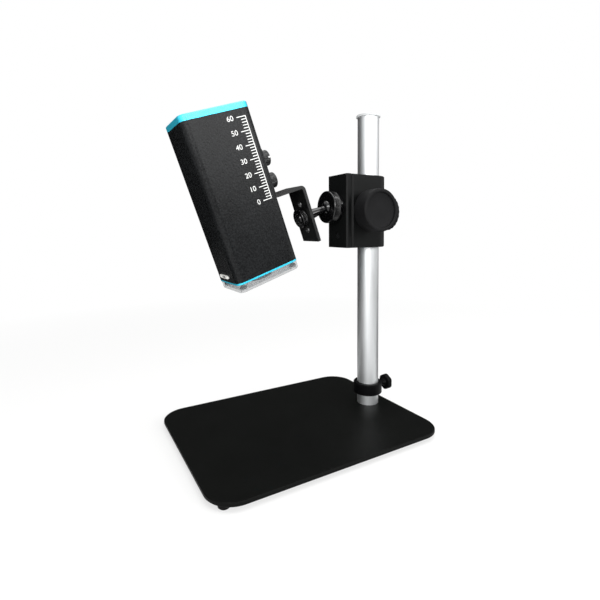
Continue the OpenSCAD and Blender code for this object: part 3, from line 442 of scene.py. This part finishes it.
class MICROSCOPE_OT_stage(bpy.types.Operator):
    """Set up the camera, the light, the background, the floor and the cards round the object"""

    bl_idname = "microscope.stage"
    bl_label = "Studio"

    def execute(self, context):
        studio = context.scene.microscope_studio
        context.scene.view_settings.view_transform = "Standard"
        self.camera(context, studio)
        self.light(context)
        self.background(context)
        self.ground(context, studio)
        # Name, colour, span in degrees from +X, inner and outer radius, and height at the outer edge.
        # The spans end between the steps of a card's circle, so that rounding drops none of them.
        # The cards' colours are painted reflections: nothing but reflections sees them, and they give the
        # object's sides darker and lighter mirrored tones
        for card in (
                ("grey_wall", "#4E4E4E", (3, 97), (0.9, 1.2), 1.1),
                ("black_wall", "#141414", (93, 162), (0.9, 1.2), 1.1),
                ("right_reflection_card", "#1A1A1A", (-23, 107), (0.15, 0.9), 0.02),
                ("pale_reflection_card", "#626262", (103, 122), (0.25, 0.5), 0.02),
                ("back_reflection_card", "#0A0A0A", (103, 192), (0.5, 0.9), 0.02),
                ("left_reflection_card", "#0A0A0A", (118, 192), (0.15, 0.5), 0.02),
                ("front_reflection_card", "#101010", (-102, -28), (0.45, 1.2), 0.12)):
            self.card(context, *card)
        return {"FINISHED"}

    def camera(self, context, studio):
        """Camera at its place, turned by yaw, pitch and roll."""
        ahead = Vector((math.cos(studio.yaw) * math.cos(studio.pitch),
                        math.sin(studio.yaw) * math.cos(studio.pitch), math.sin(studio.pitch)))
        right = ahead.cross(Vector((0, 0, 1))).normalized()
        up = right.cross(ahead)
        cos_roll, sin_roll = math.cos(studio.roll), math.sin(studio.roll)
        right, up = right * cos_roll + up * sin_roll, up * cos_roll - right * sin_roll
        bpy.ops.object.select_all(action="DESELECT")
        bpy.ops.object.camera_add()
        camera = context.object
        camera.name = "camera"
        camera.matrix_world = Matrix((right, up, -ahead)).transposed().to_4x4()
        camera.location = studio.place
        camera.data.sensor_width = 36
        camera.data.lens = studio.focal * camera.data.sensor_width
        camera.data.shift_y = studio.shift
        camera.data.clip_start = 0.01
        context.scene.camera = camera

    def light(self, context):
        """Soft boxes in front, at the left and right of it, above, and at the right side."""
        middle = Vector((0, 0, 0.14))
        # Name, place, width and height, power, and whether reflections show the box
        boxes = (
            ("key_box", (-0.20, -0.95, 0.53), (1.90, 0.33), 9.5, True),
            ("front_box", (-0.64, -0.68, 0.32), (0.70, 0.24), 3.0, True),
            ("fill_box", (0.66, -0.72, 0.55), (0.30, 0.20), 1.4, True),
            ("top_box", (0.10, -0.05, 1.10), (0.90, 0.90), 7.0, True),
            ("side_box", (0.95, -0.15, 0.45), (0.60, 0.60), 2.0, False),
        )
        for name, place, size, power, mirrored in boxes:
            bpy.ops.object.light_add(type="AREA", location=place)
            lamp = context.object
            lamp.name = name
            lamp.data.shape = "RECTANGLE"
            lamp.data.size, lamp.data.size_y = size
            lamp.data.energy = power
            lamp.visible_glossy = mirrored
            lamp.rotation_euler = (middle - Vector(place)).to_track_quat("-Z", "Y").to_euler()

    def background(self, context):
        """White background, which gives the object only a part of its light."""
        world = bpy.data.worlds.new("studio")
        context.scene.world = world
        world.use_nodes = True
        tree = world.node_tree
        tree.nodes.clear()
        strength = add(tree, "ShaderNodeMapRange", {"To Min": 0.35, "To Max": 1.0},
                       {"Value": looked_at(tree)})
        sky = add(tree, "ShaderNodeBackground", {"Color": WHITE}, {"Strength": strength.outputs[0]})
        add(tree, "ShaderNodeOutputWorld", links={"Surface": sky.outputs[0]})

    def ground(self, context, studio):
        """Floor that shows the object's shadow near it, and farther out only white."""
        bpy.ops.object.select_all(action="DESELECT")
        bpy.ops.mesh.primitive_circle_add(vertices=64, radius=6, fill_type="NGON", location=(0, 0, 0))
        floor = context.object
        floor.name = "floor"
        # Matt floor paint: pale and flat, lost in the white farther out
        material, tree = new_material("painted_floor")
        where = add(tree, "ShaderNodeTexCoord").outputs["Object"]
        reach = add(tree, "ShaderNodeVectorMath", {"operation": "LENGTH"}, {0: where})
        far = add(tree, "ShaderNodeMapRange",
                  {"From Min": 0.15, "From Max": 0.7, "To Min": 0.62, "To Max": 1.0},
                  {"Value": reach.outputs["Value"]})
        share = add(tree, "ShaderNodeMath", {"operation": "MULTIPLY"},
                    {0: far.outputs[0], 1: looked_at(tree)})
        paint = add(tree, "ShaderNodeBsdfDiffuse", {"Color": shade(studio.floor)})
        white = add(tree, "ShaderNodeEmission", {"Color": WHITE, "Strength": 1.0})
        mixed = add(tree, "ShaderNodeMixShader",
                    links={0: share.outputs[0], 1: paint.outputs[0], 2: white.outputs[0]})
        add(tree, "ShaderNodeOutputMaterial", links={"Surface": mixed.outputs[0]})
        floor.data.materials.append(material)

    def card(self, context, name, code, span, reach, tall):
        """Card just above the floor, turned up at its outer edge, that only reflections show. Its colour
        is a painted reflection that sets how dark or light the object's sides look where they mirror it.
        """
        start, end = span
        near, far = reach
        bpy.ops.object.select_all(action="DESELECT")
        bpy.ops.mesh.primitive_circle_add(vertices=CARD_STEPS, radius=far, location=(0, 0, MM))
        bpy.ops.object.transform_apply(location=True)
        card = context.object
        card.name = name

        def past_span(spot):
            return (math.degrees(math.atan2(spot.y, spot.x)) - start) % 360 > end - start

        edit(card, past_span)
        bpy.ops.mesh.delete(type="VERT")
        bpy.ops.mesh.select_all(action="SELECT")
        bpy.ops.mesh.extrude_region_move(TRANSFORM_OT_translate={"value": (0, 0, tall)})
        bpy.ops.object.mode_set(mode="OBJECT")
        edit(card, lambda spot: spot.z < tall / 2)
        bpy.ops.mesh.extrude_region_move()
        bpy.ops.transform.resize(value=(near / far, near / far, 1), center_override=(0, 0, 0))
        bpy.ops.object.mode_set(mode="OBJECT")
        for rays in ("camera", "diffuse", "transmission", "shadow"):
            setattr(card, "visible_" + rays, False)
        # Painted reflection card: flat, with no shine. Only the object's reflections see it, and its grey
        # paints darker or lighter reflected tones on the object
        material, tree = new_material("painted_reflection_card")
        reflected_tone = add(tree, "ShaderNodeBsdfDiffuse", {"Color": shade(linear(code))})
        add(tree, "ShaderNodeOutputMaterial", links={"Surface": reflected_tone.outputs[0]})
        card.data.materials.append(material)


class MICROSCOPE_OT_stand(bpy.types.Operator):
    """Finish the base plate, the pole, the bracket, the feet and the plain steel pieces"""

    bl_idname = "microscope.stand"
    bl_label = "Stand"

    def execute(self, context):
        colours = context.scene.microscope_colours
        # Powder coat on sheet steel: matt black with the orange peel of melted powder. Its grain
        # is under half a millimetre and is drawn at 0.9 mm so that it shows.
        coat = grained("powder_coated_steel", colours.coat, grain=0.9, rough=(0.4, 0.52), bump=0.04,
                       spread=0.6, shine=0.062)
        dress(coat, "base_plate")
        # Black zinc on bent sheet: dark, with a satin sheen
        zinc = grained("black_zinc_sheet", linear("#0E0F0F"), grain=0.6, rough=(0.32, 0.42),
                       bump=0.006, spread=0.15, shine=0.34)
        dress(zinc, "bracket")
        # Drawn and satin anodised aluminium tube: silver, with faint lines along the draw
        drawn = grained("satin_anodised_tube", colours.pole, grain=0.5, rough=(0.42, 0.5), bump=0.004,
                        spread=0.05, metal=0.95, stretch=(1, 1, 0.02))
        dress(drawn, "pole")
        # Moulded natural polyethylene: pale, waxy and soft in its shine
        pale = grained("moulded_pale_plastic", linear("#C6C8C9"), grain=1.5, rough=(0.38, 0.5),
                       bump=0.01, spread=0.04)
        dress(pale, "pole_end_cap", "board_link")
        # Moulded rubber: black and dull, with a coarse skin
        rubber = grained("moulded_rubber", linear("#101010"), grain=0.8, rough=(0.8, 0.95), bump=0.06,
                         spread=0.25, shine=0.1)
        dress(rubber, "rubber_feet")
        # Turned free-cutting steel: bright grey with a fine tool mark
        steel = grained("turned_steel", linear("#B4B7BA"), grain=0.4, rough=(0.22, 0.36), bump=0.006,
                        spread=0.08, metal=1.0)
        dress(steel, "pole_plug", "lock_screw", "pinion_shaft", "shaft_washer", "usb_socket")
        # Black oxide on steel screws: dark, a little oily in its shine
        oxide = grained("black_oxide_steel", linear("#161718"), grain=0.5, rough=(0.28, 0.42),
                        bump=0.006, spread=0.15, shine=0.4)
        dress(oxide, "pole_screw", "rack_screw", "shaft_screw", "cap_screws", "nose_screws")
        return {"FINISHED"}


class MICROSCOPE_OT_collar(bpy.types.Operator):
    """Finish the stop collar and model its lobed thumbscrew"""

    bl_idname = "microscope.collar"
    bl_label = "Stop collar"

    def execute(self, context):
        sizes = context.scene.microscope_sizes
        # Moulded phenolic: black and half matt
        phenolic = grained("moulded_black_phenolic", linear("#0A0A0B"), grain=0.8, rough=(0.3, 0.42),
                           bump=0.015, spread=0.15, shine=0.055)
        dress(phenolic, "stop_collar")
        place = axis_frame("collar_screw_turn")
        tip, end, radius = extent("collar_screw", place)
        shank, point, chamfer = 2.0 * MM, 1.6 * MM, 0.5 * MM
        flare, flare_length = 1.6 * MM, 2.2 * MM
        edge, head = 1.6 * MM, end - 5.0 * MM
        dish_rim, dish_floor, dish = radius * 0.62, radius * 0.56, 0.5 * MM
        profile = [(point, tip), (shank, tip + chamfer), (shank, head - flare_length),
                   (shank + flare, head)]
        profile += rim(radius, head, end, edge)
        profile += [(dish_rim, end), (dish_floor, end - dish)]
        screw = lathe(profile, LOBE_STEPS * sizes.lobes)
        flute(screw, sizes.lobes, LOBE_STEPS, sizes.lobe_depth, head, end, radius - edge)
        settle(screw, "collar_thumbscrew", place, phenolic, "collar_thumbscrew",
               "collar_screw")
        return {"FINISHED"}


class MICROSCOPE_OT_focus_block(bpy.types.Operator):
    """Finish the focus block, its slide, its liner bush and its rack"""

    bl_idname = "microscope.focus_block"
    bl_label = "Focus block"

    def execute(self, context):
        colours = context.scene.microscope_colours
        # Black anodised aluminium: matt and even, with the grain of a fine blast
        anodised = grained("black_anodised_aluminium", colours.block, grain=0.7, rough=(0.38, 0.48),
                           bump=0.012, spread=0.14, shine=0.1)
        dress(anodised, "focus_block", "slide_plate", "lens_barrel")
        # Natural nylon: ivory and waxy
        nylon = grained("natural_nylon", linear("#DAD4C4"), grain=1.2, rough=(0.42, 0.55), bump=0.01,
                        spread=0.05)
        dress(nylon, "liner_bush", "ball_seat")
        # Machined brass: warm yellow with fine cutter marks
        brass = grained("machined_brass", linear("#C8A55C"), grain=0.4, rough=(0.24, 0.38), bump=0.006,
                        spread=0.1, metal=1.0)
        dress(brass, "rack", "body_inserts")
        return {"FINISHED"}


class MICROSCOPE_OT_knobs(bpy.types.Operator):
    """Model the focus knob with its sunk face and the fluted lock knob"""

    bl_idname = "microscope.knobs"
    bl_label = "Knobs"

    def execute(self, context):
        colours = context.scene.microscope_colours
        # Moulded ABS with a sparked mould texture: black, matt, faintly pebbled
        plastic = grained("textured_black_abs", colours.knob, grain=0.9, rough=(0.5, 0.62), bump=0.03,
                          spread=0.18, shine=0.1)
        self.focus_knob(plastic)
        self.lock_knob(plastic, context.scene.microscope_sizes)
        return {"FINISHED"}

    def focus_knob(self, plastic):
        """Wheel on a hub, with a sunk face inside a soft lip."""
        place = axis_frame("focus_knob_turn", turned_over=True)
        low, high, radius = extent("focus_knob", place)
        hub, bore, bore_end = 9.0 * MM, 3.7 * MM, low + 15.98 * MM
        chamfer, fillet, edge = 0.4 * MM, 0.8 * MM, 1.0 * MM
        wheel, floor = low + 7.4 * MM, high - 1.8 * MM
        face, soft, softer, core = 14.6 * MM, 0.15 * MM, 0.5 * MM, 5.84 * MM
        profile = [(bore, bore_end), (bore, low), (hub - chamfer, low), (hub, low + chamfer),
                   (hub, wheel - fillet), (hub + fillet, wheel)]
        profile += rim(radius, wheel, high, edge)
        profile += [(face + softer, high), (face + soft, high - soft), (face, high - softer),
                    (face, floor + softer), (face - soft, floor + soft), (face - softer, floor),
                    (core, floor)]
        knob = lathe(profile, KNOB_STEPS)
        settle(knob, "focus_knob_turned", place, plastic, "focus", "focus_knob")

    def lock_knob(self, plastic, sizes):
        """Fluted wheel on a short hub, with a shallow dish in its end."""
        place = axis_frame("lock_knob_turn")
        low, high, radius = extent("lock_knob", place)
        hub, bore, bore_end = 6.0 * MM, 2.55 * MM, low + 6.26 * MM
        wheel, edge = low + 1.5 * MM, 1.2 * MM
        dish_rim, dish_floor, core = radius * 0.7, radius * 0.66, radius * 0.3
        floor = high - 0.6 * MM
        profile = [(bore, bore_end), (bore, low), (hub, low), (hub, wheel)]
        profile += rim(radius, wheel, high, edge)
        profile += [(dish_rim, high), (dish_floor, floor), (core, floor)]
        knob = lathe(profile, FLUTE_STEPS * sizes.flutes)
        flute(knob, sizes.flutes, FLUTE_STEPS, sizes.flute_depth, wheel, high, radius - edge)
        settle(knob, "lock_knob_fluted", place, plastic, "lock", "lock_knob")


class MICROSCOPE_OT_ball_joint(bpy.types.Operator):
    """Finish the ball joint and model its knurled locking ring and thumb nut"""

    bl_idname = "microscope.ball_joint"
    bl_label = "Ball joint"

    def execute(self, context):
        sizes = context.scene.microscope_sizes
        colours = context.scene.microscope_colours
        # Polished and black dyed metal: near black, with sharp highlights
        polished = grained("polished_black_metal", colours.gloss, grain=1.0, rough=(0.12, 0.22),
                           bump=0.003, spread=0.2, shine=0.6)
        dress(polished, "socket_housing", "ball_stud")
        self.locking_ring(polished, sizes)
        self.thumb_nut(polished, sizes)
        return {"FINISHED"}

    def locking_ring(self, polished, sizes):
        """Knurled ring with a thread bore and a lip that follows the ball."""
        place = axis_frame("locking_ring_turn")
        low, high, radius = extent("locking_ring", place)
        thread, ball, edge, band = 9.6 * MM, 6.3 * MM, 0.8 * MM, 0.5 * MM
        lip, lip_middle = high - 1.7 * MM, high - 0.7 * MM
        mouth = math.sqrt(ball ** 2 - high ** 2)
        flare, chamfer, chamfer_depth = 0.5 * MM, 0.1 * MM, 0.2 * MM
        profile = [(thread, lip), (thread, low)]
        profile += rim(radius, low, high, edge, band)
        profile += [(mouth + flare, high), (mouth + chamfer, high - chamfer_depth)]
        profile += [(math.sqrt(ball ** 2 - z ** 2), z) for z in (lip_middle, lip)]
        ring = lathe(profile, TOOTH_STEPS * sizes.ring_teeth, bored=True)
        flute(ring, sizes.ring_teeth, TOOTH_STEPS, sizes.knurl_depth, low + edge + band,
              high - edge - band, radius)
        settle(ring, "locking_ring_knurled", place, polished, "ring", "locking_ring")

    def thumb_nut(self, polished, sizes):
        """Knurled nut with a stepped boss and a chamfered bore."""
        place = axis_frame("thumb_nut_turn")
        low, high, radius = extent("thumb_nut", place)
        bore, chamfer, edge, band = 3.05 * MM, 0.4 * MM, 0.6 * MM, 0.4 * MM
        shoulder, boss_edge = low + 5.1 * MM, high - 0.3 * MM
        boss_foot, boss, boss_top = radius * 0.6, radius * 0.56, radius * 0.52
        profile = [(bore + chamfer, low)]
        profile += rim(radius, low, shoulder, edge, band)
        profile += [(boss_foot, shoulder), (boss, boss_edge), (boss_top, high),
                    (bore + chamfer, high), (bore, high - chamfer), (bore, low + chamfer)]
        nut = lathe(profile, TOOTH_STEPS * sizes.nut_teeth, bored=True)
        flute(nut, sizes.nut_teeth, TOOTH_STEPS, sizes.knurl_depth, low + edge + band,
              shoulder - edge - band, radius)
        settle(nut, "thumb_nut_knurled", place, polished, "nut", "thumb_nut")


class MICROSCOPE_OT_thumbscrews(bpy.types.Operator):
    """Model the two slotted thumbscrews with domed, knurled heads"""

    bl_idname = "microscope.thumbscrews"
    bl_label = "Thumbscrews"

    def execute(self, context):
        # Black nickel on turned brass: dark with a soft metal shine
        nickel = grained("black_nickel_plate", linear("#141516"), grain=0.6, rough=(0.24, 0.36),
                         bump=0.005, spread=0.15, shine=0.4)
        for side, slot_turn in (("upper", 0), ("lower", 55)):
            self.thumbscrew(context, side, math.radians(slot_turn), nickel)
        return {"FINISHED"}

    def thumbscrew(self, context, side, slot_turn, nickel):
        """Shank, neck and knurled head under a dome."""
        sizes = context.scene.microscope_sizes
        place = axis_frame(side + "_thumbscrew_turn")
        low, high, radius = extent(side + "_thumbscrew", place)
        shank, point, chamfer = 2.0 * MM, 1.6 * MM, 0.4 * MM
        neck, neck_length, edge = 4.27 * MM, 0.5 * MM, 0.5 * MM
        head, dome = high - 8.4 * MM, 1.4 * MM
        crown = high - dome
        grip_low, grip_high = head + edge + 0.3 * MM, crown - 0.5 * MM
        dome_steps, dome_fullness = 6, 0.8
        profile = [(point, low), (shank, low + chamfer), (shank, head - neck_length),
                   (neck, head - neck_length), (neck, head), (radius - edge, head),
                   (radius, head + edge), (radius, grip_low), (radius, grip_high), (radius, crown)]
        for k in range(1, dome_steps):
            slope = math.pi / 2 * k / dome_steps
            profile.append((radius * math.cos(slope) ** dome_fullness, crown + dome * math.sin(slope)))
        screw = lathe(profile, TOOTH_STEPS * sizes.screw_teeth)
        flute(screw, sizes.screw_teeth, TOOTH_STEPS, sizes.knurl_depth, grip_low, grip_high, radius)
        self.slot(context, screw, high, radius, slot_turn)
        settle(screw, side + "_thumbscrew_knurled", place, nickel, side + "_screw",
               side + "_thumbscrew")

    def slot(self, context, screw, high, radius, turn):
        """Cut a screwdriver slot across a head with a box, turned about the screw."""
        width, depth = 1.4 * MM, 2.6 * MM
        cutter = box(context, (width, 3 * radius, 2 * depth), (0, 0, high), turn)
        choose(context, screw)
        cut = screw.modifiers.new("slot", "BOOLEAN")
        cut.object = cutter
        cut.operation = "DIFFERENCE"
        cut.solver = "EXACT"
        bpy.ops.object.modifier_apply(modifier=cut.name)
        bpy.data.objects.remove(cutter)


class MICROSCOPE_OT_body(bpy.types.Operator):
    """Finish the shell, the cap, the trim and the button, and print a millimetre scale and a mark"""

    bl_idname = "microscope.body"
    bl_label = "Microscope body"

    def execute(self, context):
        sizes = context.scene.microscope_sizes
        colours = context.scene.microscope_colours
        # Bead blasted and black anodised extrusion: dark grey with a sparkling grain. The grain is
        # about 0.2 mm and is drawn at 1.3 mm so that it shows.
        blasted = grained("bead_blasted_anodised_shell", colours.shell, grain=1.3, rough=(0.23, 0.31),
                          bump=0.24, spread=0.9, shine=0.165)
        dress(blasted, "body_shell")
        # Dyed and sealed anodised aluminium: saturated blue over metal, satin under a thin gloss
        dyed = grained("dyed_anodised_aluminium", colours.accent, grain=0.7, rough=(0.32, 0.42),
                       bump=0.006, spread=0.06, metal=0.6,
                       **{"Coat Weight": 0.35, "Coat Roughness": 0.12})
        dress(dyed, "top_cap", "trim_plate")
        # Moulded polycarbonate key: white and smooth
        key = grained("moulded_white_key", colours.button, grain=1.5, rough=(0.28, 0.38), bump=0.005,
                      spread=0.03)
        dress(key, "snapshot_button")
        self.mark(context, sizes)
        self.scale(context, sizes, colours)
        return {"FINISHED"}

    def mark(self, context, sizes):
        """A ring between two dashes, printed on the button."""
        # Pad printed ink: dark grey and flat
        ink = grained("pad_printed_ink", linear("#1C1C1D"), grain=0.6, rough=(0.5, 0.62), bump=0.004,
                      spread=0.05)
        place, _ = body_frame()
        low, high = corners("snapshot_button", place.inverted())
        middle = (low + high) / 2
        outer, inner, thick = 1.0 * MM, 0.55 * MM, sizes.ink_height
        dash_size, dash_place = (1.5 * MM, 1.6 * MM, thick), 2.1 * MM
        ring = lathe([(outer, 0), (outer, thick), (inner, thick), (inner, 0)], RING_STEPS, bored=True)
        dashes = [box(context, dash_size, (0, side * dash_place, thick / 2)) for side in (-1, 1)]
        mark = join(context, [ring, *dashes])
        upright = Matrix.Rotation(math.radians(-90), 4, "Y")
        on_face = Matrix.Translation((low.x, middle.y, middle.z)) @ upright
        settle(mark, "button_mark", place @ on_face, ink, "button")

    def scale(self, context, sizes, colours):
        """Ticks and numbers printed along the wide face, beside the bracket's edge."""
        # Screen printed ink: white, flat, a little chalky
        ink = grained("screen_printed_ink", colours.ink, grain=0.6, rough=(0.5, 0.62), bump=0.004,
                      spread=0.05)
        place, half = body_frame()
        count, numbered = round(sizes.scale_length / sizes.tick_step), 5
        edge_x, low_z = half.x - 6.2 * MM, -8 * MM
        long, short, number_gap, number_size = 7.0 * MM, 4.0 * MM, 9.4 * MM, 5.2 * MM
        patterns = [strip(context, (size, sizes.tick_width), (-size / 2, 0)) for size in (long, short)]
        pieces = []
        for n in range(count + 1):
            tick = patterns[1] if n % numbered else patterns[0]
            pieces.append(copy_at(context, tick, (edge_x, low_z + n * sizes.tick_step, 0)))
        for tick in patterns:
            bpy.data.objects.remove(tick)
        pieces.append(strip(context, (sizes.tick_width, sizes.scale_length + sizes.tick_width),
                            (edge_x, low_z + sizes.scale_length / 2)))
        for n in range(0, count + 1, numbered):
            bpy.ops.object.select_all(action="DESELECT")
            bpy.ops.object.text_add(location=(edge_x - number_gap, low_z + n * sizes.tick_step, 0))
            number = context.object
            number.data.body = str(round(n * sizes.tick_step / MM))
            number.data.size = number_size
            number.data.align_x = "RIGHT"
            number.data.align_y = "CENTER"
            bpy.ops.object.convert(target="MESH")
            bpy.ops.object.transform_apply(location=True)
            pieces.append(context.object)
        scale = join(context, pieces)
        thick = scale.modifiers.new("ink", "SOLIDIFY")
        thick.thickness = sizes.ink_height
        thick.offset = 1
        bpy.ops.object.modifier_apply(modifier=thick.name)
        bpy.ops.object.mode_set(mode="EDIT")
        bpy.ops.mesh.select_all(action="SELECT")
        bpy.ops.mesh.normals_make_consistent(inside=False)
        bpy.ops.object.mode_set(mode="OBJECT")
        on_face = Matrix.Translation((0, -half.y, 0)) @ Matrix.Rotation(math.radians(90), 4, "X")
        settle(scale, "printed_scale", place @ on_face, ink, "microscope")


class MICROSCOPE_OT_nose(bpy.types.Operator):
    """Finish the clear nose, the lenses, the lamps and the moulded pieces behind it"""

    bl_idname = "microscope.nose"
    bl_label = "Nose"

    def execute(self, context):
        colours = context.scene.microscope_colours
        # Moulded clear acrylic, thin walled: what is behind shows straight through a faint grey haze
        acrylic = see_through("moulded_clear_acrylic", colours.clear, ior=1.49, rough=(0.2, 0.3),
                              grain=6, **{"Transmission Weight": 0.0, "Alpha": 0.31})
        dress(acrylic, "nose_cover")
        # Coated optical glass: clear with a cool tint
        glass = see_through("coated_optical_glass", linear("#DCEAF0"), ior=1.52, rough=(0.0, 0.03),
                            grain=8, **{"Coat Weight": 0.5, "Coat Tint": shade(linear("#7F8FE0"))})
        dress(glass, "front_lens", "rear_lens")
        # Phosphor under clear resin: pale yellow, glossy
        lamp = grained("phosphor_lamp_resin", linear("#F4E7A8"), grain=1.0, rough=(0.08, 0.16),
                       bump=0.003, spread=0.05, **{"Transmission Weight": 0.3})
        dress(lamp, "leds")
        # Moulded black polyamide: matt
        moulded = grained("moulded_black_polyamide", linear("#17181A"), grain=0.9, rough=(0.5, 0.62),
                          bump=0.02, spread=0.15)
        dress(moulded, "lens_mount", "button_switch", "image_sensor", "video_chip")
        return {"FINISHED"}


class MICROSCOPE_OT_boards(bpy.types.Operator):
    """Finish the circuit boards and model the contacts in the USB socket"""

    bl_idname = "microscope.boards"
    bl_label = "Boards"

    def execute(self, context):
        # White solder mask over copper tracks: pale and satin, with the tracks a little darker
        white = circuit("white_solder_mask", linear("#E6E9E3"), linear("#D2D6CC"), pitch=1.6)
        dress(white, "led_board")
        # Green solder mask over copper tracks: deep green, with the tracks paler
        green = circuit("green_solder_mask", linear("#1F5A32"), linear("#2F7A45"), pitch=1.2)
        dress(green, "sensor_board", "main_board")
        self.contacts(context)
        return {"FINISHED"}

    def contacts(self, context):
        """Two rows of contacts on the socket's tongue."""
        # Gold plate on the contacts: warm and bright
        gold = grained("gold_plated_contact", linear("#E2B85A"), grain=0.3, rough=(0.16, 0.24),
                       bump=0.002, spread=0.05, metal=1.0)
        place, _ = body_frame()
        low, high = corners("usb_socket", place.inverted())
        middle_y = (low.y + high.y) / 2
        each_way, pitch, row, depth = 4, 0.65 * MM, 0.36 * MM, 2.4 * MM
        pad_size, pad_edge = (0.3 * MM, 0.06 * MM, 2.6 * MM), 0.02 * MM
        pattern = box(context, pad_size, (0, 0, 0))
        soft = pattern.modifiers.new("edge", "BEVEL")
        soft.width = pad_edge
        soft.segments = 1
        bpy.ops.object.modifier_apply(modifier=soft.name)
        pads = [copy_at(context, pattern, (n * pitch, middle_y + side * row, high.z - depth))
                for side in (-1, 1) for n in range(-each_way, each_way + 1)]
        bpy.data.objects.remove(pattern)
        settle(join(context, pads), "usb_contacts", place, gold, "microscope")


class MICROSCOPE_PT_panel(bpy.types.Panel):
    """Sizes, colours and the steps that dress the microscope"""

    bl_idname = "MICROSCOPE_PT_panel"
    bl_label = "USB microscope"
    bl_space_type = "VIEW_3D"
    bl_region_type = "UI"
    bl_category = "Microscope"

    def draw(self, context):
        for group_name in GROUPS:
            group = getattr(context.scene, group_name)
            section = self.layout.box()
            for name in group.bl_rna.properties.keys():
                if name not in ("rna_type", "name"):
                    section.prop(group, name)
        for step in STEPS:
            self.layout.operator(step.bl_idname)


STEPS = (MICROSCOPE_OT_stage, MICROSCOPE_OT_stand, MICROSCOPE_OT_collar, MICROSCOPE_OT_focus_block,
         MICROSCOPE_OT_knobs, MICROSCOPE_OT_ball_joint, MICROSCOPE_OT_thumbscrews, MICROSCOPE_OT_body,
         MICROSCOPE_OT_nose, MICROSCOPE_OT_boards)
GROUPS = {"microscope_colours": MicroscopeColours, "microscope_sizes": MicroscopeSizes,
          "microscope_studio": MicroscopeStudio}
CLASSES = (*GROUPS.values(), *STEPS, MICROSCOPE_PT_panel)


def register():
    for each in CLASSES:
        bpy.utils.register_class(each)
    for name, group in GROUPS.items():
        setattr(bpy.types.Scene, name, bpy.props.PointerProperty(type=group))


def unregister():
    for name in GROUPS:
        delattr(bpy.types.Scene, name)
    for each in reversed(CLASSES):
        bpy.utils.unregister_class(each)


def main():
    register()
    for step in STEPS:
        getattr(bpy.ops.microscope, step.bl_idname.split(".")[1])()


if __name__ == "__main__":
    main()
